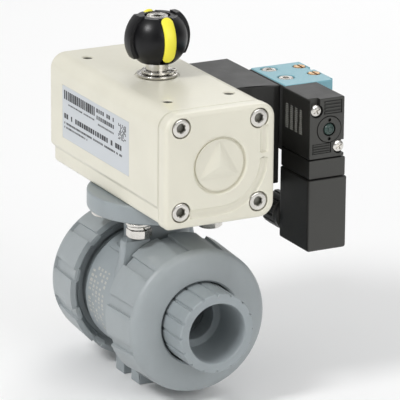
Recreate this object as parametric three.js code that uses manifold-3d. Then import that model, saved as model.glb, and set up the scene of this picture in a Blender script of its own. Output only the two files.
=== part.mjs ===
// Pneumatically actuated union ball valve with a solenoid pilot valve, in millimetres.
// +X runs along the pipe, +Z up, and the stem is on the Z axis above the feet's underside.
import * as THREE from 'three';
import * as BufferGeometryUtils from 'three/addons/utils/BufferGeometryUtils.js';
import Module from 'manifold-3d';

const wasm = await Module();
wasm.setup();

// Driving dimensions
const gap = 0.3; // clearance kept between neighbouring pieces
const pipeZ = 37.7; // pipe axis above the feet
const actuatorTopZ = 140.8;
const actuatorHeight = 51.8;
const actuatorHalfWidth = 26.8;
const actuatorRearX = -57.5;
const actuatorFrontX = 61.2;
const actuatorBottomZ = actuatorTopZ - actuatorHeight;
const cylinderZ = actuatorTopZ - 25.3; // axis of the piston bore
const boltReach = 17.68; // flange bolts on a 50 mm circle, at 45 degrees

// Valve
const ballRadius = 16.5;
const portRadius = 10;
const barrelRadius = 28.4;
const shoulderX = 15.5;
const threadRadius = 26.3;
const bodyEndX = 27;
const seatRadius = 14.8;
const seatPocketX = 16.5;
const carrierRadius = 19;
const carrierInnerX = 9.3;
const neckRadius = 14.8;
const flangeRadius = 31.5;
const flangeTopZ = actuatorBottomZ - gap;
const flangeBottomZ = actuatorTopZ - 60.5;
const bossTopZ = actuatorTopZ - 70;
const stemRadius = 7.4;
const stemSquare = 10.4; // across flats
const stemRingZ = pipeZ + 29;
const footHalfX = 12;
const footHalfY = 14.6;
const footSlotHalfX = 3.7;

// Unions
const nutInnerX = 17.6;
const nutFaceX = 43.7;
const nutRadius = 34.6;
const nutPads = 11;
const hubRadius = 18.2;
const hubEndX = 59.75;
const socketRadius = 13.35; // for 3/4 inch pipe, 26.7 mm outside diameter
const socketStopX = 37;

// Actuator
const cylinderRadius = 20;
const capSeatX = 53.8;
const capX = 54.9;
const capScrewReach = 18.92;
const toothModule = 1;
const pinionTeeth = 15;
const pitchRadius = toothModule * pinionTeeth / 2;
const pistonHeadX = 31;
const pistonHeadLength = 7;
const rackReachX = 17;
const rackHalfHeight = 6;

// Indicator
const knobRadius = 13.5;
const knobZ = actuatorTopZ + 17.4;
const knobBottomZ = actuatorTopZ + 6.6;
const knobTopZ = actuatorTopZ + 27.6;
const finRadius = 15.2;
const shaftRadius = 5.1;

const stripeInnerRadius = 12.6;
const stripeBottomZ = actuatorTopZ + 7.8;

// Label, let into the -Y side
const labelFloorY = -actuatorHalfWidth + 0.5;
const labelHighDepth = 11.7;
const labelLowDepth = 36.5;

// Solenoid valve, on the +Y side
const adapterY = 48.6;
const adapterHalfX = 25;
const adapterTopZ = actuatorTopZ - 4.3;
const adapterBottomZ = actuatorTopZ - 50;
const portReachX = 12;
const portZ = actuatorTopZ - 22;
const valvePortX = 3;
const valveTopZ = actuatorTopZ - 4;
const valveBottomZ = actuatorTopZ - 34;
const pilotBackX = 28.3;
const pilotFaceX = 54;
const pilotNearY = 47.9;
const pilotFarY = 65.5;
const pilotBottomZ = actuatorTopZ - 31.5;
const boxTopZ = actuatorTopZ - 40.8;
const boxBottomZ = actuatorTopZ - 74;
const spoolY = 62.5;
const spoolZ = actuatorTopZ - 20;
const spoolRadius = 4.5;
const glandY = 54.5;
const glandZ = actuatorTopZ - 65.2;
const glandRadius = 8.07;

// Finishes: colour, roughness, metalness
const finishes = {
  bodyGrey: [0x9299a0, 0.5, 0],
  nutGrey: [0x8f979d, 0.5, 0],
  cream: [0xe4e1d3, 0.42, 0],
  blackPlastic: [0x2b2b2b, 0.5, 0],
  darkAdapter: [0x3b3b39, 0.6, 0],
  teal: [0x6fb9c4, 0.45, 0.1],
  yellow: [0xf2e544, 0.45, 0],
  steel: [0xc9c6c0, 0.25, 1],
  brass: [0xc69a6a, 0.35, 1],
  rubber: [0x1c1c1c, 0.8, 0],
  ptfe: [0xf1f1ec, 0.4, 0],
  acetal: [0x3a3d40, 0.5, 0],
  aluminium: [0xb4b7b9, 0.35, 1],
  paper: [0xd9dce0, 0.6, 0],
  paleGasket: [0xd7d3c2, 0.8, 0],
  green: [0x5c6f68, 0.4, 0],
};

// A closed three.js geometry as a solid for boolean work
function solid(geometry) {
  const merged = geometry.clone();
  merged.deleteAttribute('normal');
  merged.deleteAttribute('uv');
  const welded = BufferGeometryUtils.mergeVertices(merged, 1e-4);
  return new wasm.Manifold(new wasm.Mesh({
    numProp: 3,
    vertProperties: new Float32Array(welded.attributes.position.array),
    triVerts: new Uint32Array(welded.index.array),
  }));
}

function geometryOf(body) {
  const mesh = body.getMesh();
  const geometry = new THREE.BufferGeometry();
  geometry.setAttribute('position', new THREE.BufferAttribute(mesh.vertProperties, 3));
  geometry.setIndex(new THREE.BufferAttribute(mesh.triVerts, 1));
  geometry.computeVertexNormals();
  return geometry;
}

function join(...bodies) {
  return bodies.reduce((whole, body) => whole.add(body));
}

function cut(body, ...tools) {
  return tools.reduce((rest, tool) => rest.subtract(tool), body);
}

// Basic solids
function block(x0, x1, y0, y1, z0, z1) {
  const geometry = new THREE.BoxGeometry(x1 - x0, y1 - y0, z1 - z0);
  geometry.translate((x0 + x1) / 2, (y0 + y1) / 2, (z0 + z1) / 2);
  return solid(geometry);
}

function rodX(radius, x0, x1, y = 0, z = pipeZ, sides = 28) {
  const geometry = new THREE.CylinderGeometry(radius, radius, x1 - x0, sides);
  geometry.rotateZ(-Math.PI / 2);
  geometry.translate((x0 + x1) / 2, y, z);
  return solid(geometry);
}

function rodY(radius, y0, y1, x, z, sides = 20) {
  const geometry = new THREE.CylinderGeometry(radius, radius, y1 - y0, sides);
  geometry.translate(x, (y0 + y1) / 2, z);
  return solid(geometry);
}

function rodZ(radius, z0, z1, x = 0, y = 0, sides = 24) {
  const geometry = new THREE.CylinderGeometry(radius, radius, z1 - z0, sides);
  geometry.rotateX(Math.PI / 2);
  geometry.translate(x, y, (z0 + z1) / 2);
  return solid(geometry);
}

// A profile of [radius, distance along the axis] turned about the pipe axis or a line beside it
function turnedX(profile, sides = 28, y = 0, z = pipeZ) {
  const geometry = new THREE.LatheGeometry(profile.map((p) => new THREE.Vector2(...p)), sides);
  geometry.rotateZ(-Math.PI / 2);
  geometry.translate(0, y, z);
  return outward(solid(geometry));
}

// The same about a vertical line
function turnedZ(profile, sides = 24, x = 0, y = 0) {
  const geometry = new THREE.LatheGeometry(profile.map((p) => new THREE.Vector2(...p)), sides);
  geometry.rotateX(Math.PI / 2);
  geometry.translate(x, y, 0);
  return outward(solid(geometry));
}

// A profile listed the other way round turns inside out, which this undoes
function outward(body) {
  if (body.volume() >= 0) return body;
  const mesh = body.getMesh();
  const flipped = mesh.triVerts.slice().reverse();
  return new wasm.Manifold(new wasm.Mesh({
    numProp: 3,
    vertProperties: mesh.vertProperties,
    triVerts: flipped,
  }));
}

function ringProfile(inner, outer, low, high) {
  return [[inner, low], [outer, low], [outer, high], [inner, high], [inner, low]];
}

function torusProfile(centreRadius, tubeRadius, along, steps = 6) {
  return Array.from({ length: steps + 1 }, (_, i) => {
    const angle = (i % steps) / steps * 2 * Math.PI;
    return [centreRadius + tubeRadius * Math.cos(angle), along + tubeRadius * Math.sin(angle)];
  });
}

// Points of an arc, for outlines and profiles
function arc(cx, cy, radius, fromDegrees, toDegrees, steps) {
  return Array.from({ length: steps + 1 }, (_, i) => {
    const angle = THREE.MathUtils.degToRad(fromDegrees + (toDegrees - fromDegrees) * i / steps);
    return [cx + radius * Math.cos(angle), cy + radius * Math.sin(angle)];
  });
}

function extruded(points, depth) {
  const shape = new THREE.Shape(points.map((p) => new THREE.Vector2(...p)));
  return new THREE.ExtrudeGeometry(shape, { depth, bevelEnabled: false });
}

// An outline in Y and Z extruded along X
function prismX(points, x0, x1) {
  const geometry = extruded(points, x1 - x0);
  geometry.rotateX(Math.PI / 2);
  geometry.rotateZ(Math.PI / 2);
  geometry.translate(x0, 0, 0);
  return solid(geometry);
}

// An outline in X and Z extruded along Y
function prismY(points, y0, y1) {
  const geometry = extruded(points, y1 - y0);
  geometry.rotateX(Math.PI / 2);
  geometry.translate(0, y1, 0);
  return solid(geometry);
}

// An outline in X and Y extruded along Z
function prismZ(points, z0, z1) {
  const geometry = extruded(points, z1 - z0);
  geometry.translate(0, 0, z0);
  return solid(geometry);
}

function hexagon(acrossFlats) {
  const corner = acrossFlats / Math.sqrt(3);
  return Array.from({ length: 6 }, (_, i) => {
    const angle = i * Math.PI / 3;
    return [corner * Math.cos(angle), corner * Math.sin(angle)];
  });
}

// A rectangle with its own radius at each corner, anticlockwise from the lower left
function roundedOutline(u0, u1, v0, v1, radii, steps = 4) {
  const [lowerLeft, lowerRight, upperRight, upperLeft] = radii;
  return [
    ...arc(u0 + lowerLeft, v0 + lowerLeft, lowerLeft, 180, 270, steps),
    ...arc(u1 - lowerRight, v0 + lowerRight, lowerRight, 270, 360, steps),
    ...arc(u1 - upperRight, v1 - upperRight, upperRight, 0, 90, steps),
    ...arc(u0 + upperLeft, v1 - upperLeft, upperLeft, 90, 180, steps),
  ];
}

const part = new THREE.Group();

function addPiece(name, finish, body) {
  const [color, roughness, metalness] = finishes[finish];
  const material = new THREE.MeshStandardMaterial({ color, roughness, metalness });
  const mesh = new THREE.Mesh(geometryOf(body), material);
  mesh.name = name;
  part.add(mesh);
}

const ends = [['front', 1], ['rear', -1]];
const flangeCorners = [[1, -1], [1, 1], [-1, 1], [-1, -1]].map(([i, j]) => [i * boltReach, j * boltReach]);

// Valve body: barrel, neck, mounting flange, bolt bosses and feet, bored for the ball and the stem
function valveBody() {
  const bossRadius = 6.9;
  const bossX = 14.6;
  const bossCutX = 17.2;
  const footTopZ = 14;
  const webHalfY = 5;
  const slotTopZ = 6.9;
  const bosses = flangeCorners.map(([x, y]) =>
    cut(
      rodZ(bossRadius, pipeZ + 15, bossTopZ, Math.sign(x) * bossX, y, 16),
      block(bossCutX, 40, -40, 40, 0, 100),
      block(-40, -bossCutX, -40, 40, 0, 100),
    ));
  const foot = cut(
    block(-footHalfX, footHalfX, -footHalfY, footHalfY, 0, footTopZ),
    block(-footSlotHalfX, footSlotHalfX, webHalfY, footHalfY + 1, -1, slotTopZ),
    block(-footSlotHalfX, footSlotHalfX, -footHalfY - 1, -webHalfY, -1, slotTopZ),
  );
  const outside = join(
    rodX(threadRadius, -bodyEndX, bodyEndX, 0, pipeZ, 36),
    rodX(barrelRadius, -shoulderX, shoulderX, 0, pipeZ, 36),
    rodZ(neckRadius, pipeZ, flangeBottomZ + 1),
    rodZ(flangeRadius, flangeBottomZ, flangeTopZ, 0, 0, 36),
    foot,
    ...bosses,
  );
  const chamberRadius = ballRadius + 0.4;
  const seatPocketRadius = seatRadius + gap;
  const faceGroove = ringProfile(20.8, 23.8, bodyEndX - 2.3, bodyEndX + 1);
  return cut(
    outside,
    rodX(portRadius + 0.2, -bodyEndX - 1, 0),
    rodX(seatPocketRadius, -seatPocketX, 0),
    rodX(chamberRadius, -8, carrierInnerX + 0.1),
    rodX(carrierRadius + gap, carrierInnerX, bodyEndX + 1),
    turnedX(faceGroove),
    turnedX(faceGroove.map(([r, x]) => [r, -x])),
    rodZ(stemRadius + gap, pipeZ, flangeTopZ + 1, 0, 0, 24),
    rodZ(stemRadius + 2.1, pipeZ, pipeZ + 20.8, 0, 0, 24),
    ...flangeCorners.map(([x, y]) => rodZ(3.3, flangeBottomZ - 1, flangeTopZ + 1, x, y, 12)),
  );
}

// Ball with its port along the pipe and a slot across its top for the stem's tang
function ball() {
  const sphere = new THREE.SphereGeometry(ballRadius, 24, 14);
  sphere.translate(0, 0, pipeZ);
  return cut(
    solid(sphere),
    rodX(portRadius, -20, 20, 0, pipeZ, 24),
    block(-6, 6, -3, 3, pipeZ + 11.9, pipeZ + 20),
  );
}

function stem() {
  const tangBottomZ = pipeZ + 12.3;
  const shoulderZ = pipeZ + 17.3;
  const shoulderTopZ = shoulderZ + 3.2;
  const squareZ = actuatorTopZ - 61;
  const topZ = actuatorBottomZ + 9;
  const half = stemSquare / 2;
  const groove = ringProfile(stemRadius - 1.9, stemRadius + 1, stemRingZ - 1, stemRingZ + 1);
  return cut(
    join(
      block(-5.7, 5.7, -2.7, 2.7, tangBottomZ, shoulderZ + 0.1),
      rodZ(stemRadius + 1.8, shoulderZ, shoulderTopZ, 0, 0, 24),
      rodZ(stemRadius, shoulderTopZ - 0.1, squareZ, 0, 0, 24),
      block(-half, half, -half, half, squareZ - 0.1, topZ),
    ),
    turnedZ(groove, 28),
  );
}

// Seat ring with a spherical inner face that follows the ball
function seatRing(side) {
  const clearRadius = ballRadius + gap;
  const steps = 3;
  const inner = portRadius + 0.4;
  const face = Array.from({ length: steps + 1 }, (_, i) => {
    const r = inner + (seatRadius - inner) * i / steps;
    return [r, side * Math.sqrt(clearRadius ** 2 - r ** 2)];
  });
  const backX = side * (seatPocketX - gap);
  return turnedX([[inner, backX], ...face, [seatRadius, backX], [inner, backX]], 24);
}

// Threaded ring that holds the front seat in the body
function seatCarrier() {
  const bore = portRadius + 0.2;
  const pocket = seatRadius + gap;
  const innerX = carrierInnerX + gap;
  const outerX = bodyEndX - 0.5;
  return turnedX([
    [bore, seatPocketX], [pocket, seatPocketX], [pocket, innerX], [carrierRadius, innerX],
    [carrierRadius, outerX], [bore, outerX], [bore, seatPocketX],
  ], 28);
}

// End connector: flange held by the nut, then a ribbed hub with the solvent socket
function endConnector(side) {
  const flangeX = bodyEndX + gap;
  const flangeEndX = 31.5;
  const ribs = 16;
  const grooveHalfDegrees = 1.8;
  const outline = [];
  for (let i = 0; i < ribs; i += 1) {
    const start = i * 360 / ribs;
    const end = start + 360 / ribs;
    outline.push(...arc(0, pipeZ, hubRadius, start + grooveHalfDegrees, end - grooveHalfDegrees, 2));
    outline.push(...arc(0, pipeZ, hubRadius - 0.5, end - grooveHalfDegrees, end + grooveHalfDegrees, 1));
  }
  const hub = prismX(outline, flangeEndX - 0.1, hubEndX);
  const mouth = [[0, hubEndX - 1.2], [socketRadius, hubEndX - 1.2], [socketRadius + 0.6, hubEndX + 0.1]];
  const body = cut(
    join(hub, rodX(threadRadius - 0.4, flangeX, flangeEndX, 0, pipeZ, 32)),
    rodX(portRadius, flangeX - 1, hubEndX),
    rodX(socketRadius, socketStopX, hubEndX + 1),
    turnedX([...mouth, [0, hubEndX + 0.1]]),
  );
  return side > 0 ? body : body.mirror([1, 0, 0]);
}

// Union nut: grip pads round the outside, thread bore, conical mouth with six slots, rounded face
function unionNut(side) {
  const padPhase = 10.2;
  const mouthSlots = 6;
  const mouthPhase = 14;
  const shelfX = 31.9;
  const boreRadius = threadRadius + 0.5;
  const holeRadius = 19;
  const shoulder = arc(38.9, nutRadius - 4.7, 3.5, 90, 15, 3).map(([x, r]) => [r, x]);
  const whole = turnedX([
    [32.4, nutInnerX], [nutRadius, nutInnerX + 0.6], ...shoulder,
    [holeRadius, nutFaceX], [holeRadius, shelfX],
    [boreRadius, shelfX], [boreRadius, 21.5], [29.5, 21.5], [31.9, nutInnerX],
    [32.4, nutInnerX],
  ], 33);
  const grooveDepth = 1.3;
  const grooveHalf = 2.7;
  const tools = [];
  for (let i = 0; i < nutPads; i += 1) {
    const turn = 360 / nutPads * i + padPhase;
    const floor = nutRadius - grooveDepth;
    const tool = block(nutInnerX - 1, 39, -grooveHalf, grooveHalf, floor, nutRadius + 2);
    tools.push(tool.rotate([turn, 0, 0]).translate([0, 0, pipeZ]));
  }
  for (let i = 0; i < mouthSlots; i += 1) {
    const turn = 360 / mouthSlots * i + mouthPhase;
    const slot = block(nutInnerX - 1, nutInnerX + 3, -2.4, 2.4, 28, 31.6);
    tools.push(slot.rotate([turn, 0, 0]).translate([0, 0, pipeZ]));
  }
  const body = cut(whole, ...tools);
  return side > 0 ? body : body.mirror([1, 0, 0]);
}

function flangeBolt(x, y) {
  const headTopZ = flangeBottomZ - 2 * (1.3 + gap) - 2 * 0.1;
  const head = prismZ(hexagon(10), headTopZ - 4, headTopZ).translate([x, y, 0]);
  return join(head, rodZ(2.9, headTopZ - 1, actuatorBottomZ + 11, x, y, 14));
}

const capCorners = [[-1, 1], [1, 1], [-1, -1], [1, -1]].map(([i, j]) =>
  [i * capScrewReach, cylinderZ + j * capScrewReach]);

// Actuator body: one closed casing, stepped in below a ledge along both long sides
function actuatorBody() {
  const ledgeZ = actuatorTopZ - 43.5;
  const stripHalfWidth = 24.8;
  const topCorner = 7.5;
  const footCorner = 2;
  const cornerY = actuatorHalfWidth - topCorner;
  const cornerZ = actuatorTopZ - topCorner;
  const footY = stripHalfWidth - footCorner;
  const footZ = actuatorBottomZ + footCorner;
  const section = [
    ...arc(-footY, footZ, footCorner, 180, 270, 2),
    ...arc(footY, footZ, footCorner, 270, 360, 2),
    [stripHalfWidth, ledgeZ - 1], [actuatorHalfWidth, ledgeZ + 1],
    ...arc(cornerY, cornerZ, topCorner, 0, 90, 6),
    ...arc(-cornerY, cornerZ, topCorner, 90, 180, 6),
    [-actuatorHalfWidth, ledgeZ + 1], [-stripHalfWidth, ledgeZ - 1],
  ];
  const endRounding = 4;
  const roundX = actuatorRearX + endRounding;
  const roundY = actuatorHalfWidth - endRounding;
  const plan = [
    [capSeatX, actuatorHalfWidth],
    ...arc(roundX, roundY, endRounding, 90, 180, 4),
    ...arc(roundX, -roundY, endRounding, 180, 270, 4),
    [capSeatX, -actuatorHalfWidth],
  ];
  const profile = [
    [capSeatX, actuatorBottomZ], [capSeatX, actuatorTopZ],
    ...arc(roundX, actuatorTopZ - endRounding, endRounding, 90, 180, 4),
    [actuatorRearX, actuatorBottomZ],
  ];
  const casing = prismX(section, actuatorRearX, capSeatX)
    .intersect(prismZ(plan, actuatorBottomZ - 1, actuatorTopZ + 1))
    .intersect(prismY(profile, -30, 30));
  const labelPocket = block(
    -42.3, 26.3, -30, labelFloorY, actuatorTopZ - labelLowDepth - gap, actuatorTopZ - labelHighDepth + gap,
  );
  const topHoles = [[1, 1], [1, -1], [-1, 1], [-1, -1]].map(([i, j]) =>
    rodZ(2.5, actuatorTopZ - 8, actuatorTopZ + 1, i * 40, j * 15, 12));
  const screwHoles = capCorners.map(([y, z]) => rodX(2.7, 38, capSeatX + 1, y, z, 14));
  const boltHoles = flangeCorners.map(([x, y]) =>
    rodZ(3.2, actuatorBottomZ - 1, actuatorBottomZ + 12, x, y, 12));
  const airPorts = [-portReachX, portReachX].map((x) =>
    rodY(3.5, 15, actuatorHalfWidth + 1, x, portZ));
  return cut(
    casing,
    rodX(cylinderRadius, actuatorRearX + 4, capSeatX + 1, 0, cylinderZ, 36),
    rodZ(9.6, actuatorBottomZ - 1, cylinderZ, 0, 0, 24),
    rodZ(7.1, cylinderZ, actuatorTopZ + 1, 0, 0, 24),
    rodZ(9.6, actuatorTopZ - 0.3, actuatorTopZ + 1, 0, 0, 28),
    labelPocket,
    ...topHoles,
    ...screwHoles,
    ...boltHoles,
    ...airPorts,
  );
}

function capOutline() {
  return roundedOutline(
    -actuatorHalfWidth, actuatorHalfWidth, actuatorBottomZ, actuatorTopZ, [3, 7, 6.5, 7.5],
  );
}

function capGasket() {
  const plate = prismX(capOutline(), capSeatX + 0.3, capX - 0.3);
  return cut(
    plate,
    rodX(cylinderRadius, 50, 60, 0, cylinderZ, 28),
    ...capCorners.map(([y, z]) => rodX(2.8, 50, 60, y, z, 14)),
  );
}

// End cap: spigot in the bore, four counterbores, a faceted round boss and a curved groove
function endCap() {
  const counterboreFloorX = actuatorFrontX - 5.2;
  const bossRadius = 12.8;
  const bossFacets = 6;
  const dome = new THREE.ConeGeometry(bossRadius - 1, 1.5, bossFacets);
  dome.rotateZ(-Math.PI / 2);
  dome.translate(actuatorFrontX - 1 + 0.65, 0, cylinderZ);
  const grooveCentre = [-18.9, actuatorTopZ - 6.4];
  const grooveRing = turnedX(
    ringProfile(36.4, 38.6, actuatorFrontX - 0.5, actuatorFrontX + 1), 48, ...grooveCentre,
  );
  const grooveArea = block(50, 70, -14, 19.6, actuatorTopZ - 45, actuatorTopZ - 11.5);
  const rounded = prismX(capOutline(), capX, actuatorFrontX);
  const spigot = rodX(cylinderRadius - 0.4, 51.5, capX + 0.1, 0, cylinderZ, 28);
  return join(
    cut(
      join(rounded, spigot),
      rodX(bossRadius, actuatorFrontX - 1, actuatorFrontX + 1, 0, cylinderZ, 36),
      grooveRing.intersect(grooveArea),
      ...capCorners.flatMap(([y, z]) => [
        rodX(4.6, counterboreFloorX, actuatorFrontX + 1, y, z, 24),
        rodX(2.7, capX - 1, counterboreFloorX + 1, y, z, 14),
      ]),
    ),
    solid(dome),
  );
}

// Socket-head cap screw through the end cap into the body
function capScrew(y, z) {
  const headX = actuatorFrontX - 5.2 + gap;
  const faceX = headX + 4.6;
  const socket = prismX(hexagon(4), faceX - 2.4, faceX + 1).translate([0, y, z]);
  return cut(
    join(rodX(4.25, headX, faceX, y, z, 20), rodX(2.4, 40, headX + 0.1, y, z, 12)),
    socket,
  );
}

// Trapezoidal tooth outline: half widths at the root, the pitch line and the tip
const toothHeights = [-1.2 * toothModule, 0, 0.9 * toothModule];
const toothHalfWidths = [0.95, 0.62, 0.28];

// Toothed output shaft of the actuator, with the square socket for the stem below
function pinion() {
  const journalTopZ = actuatorBottomZ + 12;
  const teethTopZ = cylinderZ + rackHalfHeight + 6;
  const socketHalf = stemSquare / 2 + gap;
  const outline = [];
  for (let i = 0; i < pinionTeeth; i += 1) {
    const middle = Math.PI / 2 + Math.PI / pinionTeeth + 2 * Math.PI * i / pinionTeeth;
    const left = toothHeights.map((h, k) => [pitchRadius + h, toothHalfWidths[k]]);
    const flank = [...left.map(([r, w]) => [r, -w]), ...left.reverse()];
    for (const [r, w] of flank) {
      const angle = middle + w / r;
      outline.push([r * Math.cos(angle), r * Math.sin(angle)]);
    }
  }
  return cut(
    join(
      rodZ(9.3, actuatorBottomZ + gap, journalTopZ, 0, 0, 24),
      prismZ(outline, journalTopZ - 0.1, teethTopZ),
      rodZ(6.8, teethTopZ - 0.1, actuatorTopZ - 0.4, 0, 0, 24),
      rodZ(shaftRadius, actuatorTopZ - 1, actuatorTopZ + 13, 0, 0, 24),
    ),
    block(-socketHalf, socketHalf, -socketHalf, socketHalf, actuatorBottomZ, actuatorBottomZ + 9.5),
    turnedZ(ringProfile(shaftRadius - 0.7, 9, actuatorTopZ + 1.4, actuatorTopZ + 2.9), 28),
    rodZ(2, actuatorTopZ + 5, actuatorTopZ + 14, 0, 0, 12),
  );
}

// Piston head with its rack arm. The front one's rack is on +Y. The rear one is the same piece
// turned half way round.
function piston(side) {
  const headEndX = pistonHeadX + pistonHeadLength;
  const rackRootY = pitchRadius + 1.2 * toothModule;
  const rackBackY = 14;
  const pitch = Math.PI * toothModule;
  const firstTooth = side > 0 ? 0 : 0.5;
  const outline = [[pistonHeadX + 0.5, rackBackY], [-rackReachX, rackBackY], [-rackReachX, rackRootY]];
  for (let i = -5; i <= 1; i += 1) {
    const middle = (i + firstTooth) * pitch;
    const tooth = toothHeights.map((h, k) => [toothHalfWidths[k], pitchRadius - h]);
    outline.push(...tooth.map(([w, y]) => [middle - w, y]));
    outline.push(...tooth.reverse().map(([w, y]) => [middle + w, y]));
  }
  outline.push([pistonHeadX + 0.5, rackRootY]);
  const arm = prismZ(outline, cylinderZ - rackHalfHeight, cylinderZ + rackHalfHeight);
  const grooveX = pistonHeadX + pistonHeadLength / 2;
  const body = cut(
    join(arm, rodX(cylinderRadius - 0.3, pistonHeadX, headEndX, 0, cylinderZ, 28)),
    turnedX(ringProfile(17.3, 21, grooveX - 1.4, grooveX + 1.4), 28, 0, cylinderZ),
  );
  return side > 0 ? body : body.rotate([0, 0, 180]);
}

function circlip() {
  const low = actuatorTopZ + 1.6;
  const high = low + 1;
  const ring = turnedZ(ringProfile(shaftRadius - 0.4, 7, low, high), 28);
  const ears = join(
    rodZ(1.3, low, high, 7, 2.6, 12),
    rodZ(1.3, low, high, 7, -2.6, 12),
  );
  return cut(
    join(ring, ears),
    block(0, 10, -1.2, 1.2, low - 1, high + 1),
  ).rotate([0, 0, 50]);
}

function knobSphere(radius) {
  const sphere = new THREE.SphereGeometry(radius, 24, 12);
  sphere.rotateX(Math.PI / 2);
  sphere.translate(0, 0, knobZ);
  return solid(sphere);
}

// Position indicator: a truncated ball with a raised fin on each side and slots for the stripes
function indicatorBall() {
  const fins = knobSphere(finRadius)
    .intersect(block(-3, 3, -20, 20, actuatorTopZ + 9.3, actuatorTopZ + 28.5));
  const innerFins = cut(fins, block(-4, 4, -7.7, 7.7, knobTopZ - 1, knobTopZ + 5));
  const ball = knobSphere(knobRadius).intersect(block(-20, 20, -20, 20, knobBottomZ, knobTopZ));
  const slots = block(-20, 20, -3.1, 3.1, stripeBottomZ - gap, knobTopZ + 1);
  const stripeRoom = cut(slots, knobSphere(stripeInnerRadius - gap), rodZ(6.8, knobBottomZ, knobTopZ + 2));
  return cut(
    join(ball, innerFins),
    stripeRoom,
    rodZ(5.85, knobTopZ - 1.6, knobTopZ + 2, 0, 0, 24),
    rodZ(2.3, knobBottomZ - 1, knobTopZ, 0, 0, 12),
    rodZ(shaftRadius + gap, knobBottomZ - 1, actuatorTopZ + 13.3, 0, 0, 24),
  );
}

function indicatorStripe(side) {
  const shell = cut(knobSphere(knobRadius + 0.4), knobSphere(stripeInnerRadius));
  const strip = block(7.1, 20, -2.8, 2.8, stripeBottomZ, knobTopZ - 0.3);
  const body = shell.intersect(strip);
  return side > 0 ? body : body.rotate([0, 0, 180]);
}

function indicatorScrew() {
  const headZ = knobTopZ - 1.3;
  return cut(
    join(
      rodZ(5, headZ, knobTopZ - 0.1, 0, 0, 24),
      rodZ(1.7, actuatorTopZ + 6, headZ + 0.1, 0, 0, 12),
    ),
    prismZ(hexagon(3.5), headZ + 0.3, knobTopZ + 1),
  );
}

// Adapter block: one air passage runs straight through, the other steps across to the valve's port
function namurAdapter() {
  const nearY = actuatorHalfWidth + gap;
  const crossY = 38;
  const slab = prismZ([
    [-adapterHalfX, nearY], [adapterHalfX - 3.5, nearY], [adapterHalfX - 3, nearY + 9],
    [adapterHalfX, adapterY - 3], [adapterHalfX, adapterY], [-adapterHalfX, adapterY],
  ], adapterBottomZ, adapterTopZ);
  return cut(
    slab,
    rodY(3, nearY - 1, adapterY + 1, portReachX, portZ, 16),
    rodY(3, nearY - 1, crossY, -portReachX, portZ, 16),
    rodX(2, -portReachX, valvePortX, crossY - 2, portZ, 12),
    rodY(2.5, crossY - 3, adapterY + 1, valvePortX, portZ, 16),
  );
}

function valveGasket() {
  const y0 = adapterY + gap;
  return cut(
    block(-4.6, 27.6, y0, y0 + 0.6, valveBottomZ, valveTopZ - 0.3),
    ...[valvePortX, portReachX].map((x) => rodY(3.2, adapterY - 1, adapterY + 3, x, portZ, 16)),
  );
}

const valveNearY = adapterY + 2 * gap + 0.6;
const valveFarY = 75;
const mountScrews = [[0.6, 56.3], [15.8, 56.8]];
const plugPlaces = [[2.4, 71], [15.3, 71.4]];

function solenoidValveBody() {
  const steps = block(5.4, 10, 73, 80, valveBottomZ - 1, valveTopZ + 1);
  const cornerCut = block(26, 30, 73.4, 80, valveBottomZ - 1, valveTopZ + 1);
  return cut(
    block(-5, 28, valveNearY, valveFarY, valveBottomZ, valveTopZ),
    steps,
    cornerCut,
    rodX(spoolRadius + gap, -2, 29, spoolY, spoolZ, 20),
    ...[valvePortX, portReachX].map((x) => rodY(2.5, valveNearY - 1, spoolY, x, portZ, 16)),
    ...mountScrews.flatMap(([x, y]) => [
      rodZ(3.9, valveTopZ - 1.6, valveTopZ + 1, x, y, 20),
      rodZ(1.9, valveTopZ - 10, valveTopZ, x, y, 12),
    ]),
    ...plugPlaces.map(([x, y]) => rodZ(3.1, valveTopZ - 4, valveTopZ + 1, x, y, 20)),
  );
}

function mountScrew(x, y) {
  const headZ = valveTopZ - 1.3;
  return cut(
    join(rodZ(3.5, headZ, valveTopZ - 0.1, x, y, 20), rodZ(1.6, valveTopZ - 9.5, headZ + 0.1, x, y, 12)),
    prismZ(hexagon(2.5), headZ + 0.3, valveTopZ + 1).translate([x, y, 0]),
  );
}

function brassPlug(x, y) {
  return cut(
    rodZ(2.8, valveTopZ - 3.7, valveTopZ + 0.2, x, y, 20),
    block(x - 4, x + 4, y - 0.5, y + 0.5, valveTopZ - 0.8, valveTopZ + 1),
  );
}

// Sliding spool, with three lands
function spool() {
  const landLength = 4;
  const lands = [-1.5, 9, 19.5];
  return join(
    rodX(spoolRadius - 1.3, lands[0], lands[2] + landLength, spoolY, spoolZ, 16),
    ...lands.map((x) => rodX(spoolRadius, x, x + landLength, spoolY, spoolZ, 16)),
  );
}

// Pilot block with the override in its face and two screws in corner notches
const overrideY = 57.7;
const overrideZ = actuatorTopZ - 18.3;
const pilotScrews = [[51.4, actuatorTopZ - 9.4], [62.9, actuatorTopZ - 26.9]];

function pilotBlock() {
  const notchX = pilotFaceX - 2.8;
  const [upper, lower] = pilotScrews;
  return cut(
    block(pilotBackX, pilotFaceX, pilotNearY, pilotFarY, pilotBottomZ, valveTopZ),
    rodX(3.1, notchX, pilotFaceX + 1, ...upper, 20),
    block(notchX, pilotFaceX + 1, upper[0] - 3.1, upper[0] + 1.6, upper[1], valveTopZ + 1),
    rodX(3.1, notchX, pilotFaceX + 1, ...lower, 20),
    block(notchX, pilotFaceX + 1, lower[0], pilotFarY + 1, lower[1] - 3.1, lower[1] + 3.1),
    rodX(6.2, pilotFaceX - 1.5, pilotFaceX + 1, overrideY, overrideZ, 28),
    rodX(2.9, pilotFaceX - 8, pilotFaceX, overrideY, overrideZ, 20),
    ...pilotScrews.map(([y, z]) => rodX(1.4, notchX - 8, notchX + 1, y, z, 10)),
  );
}

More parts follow.
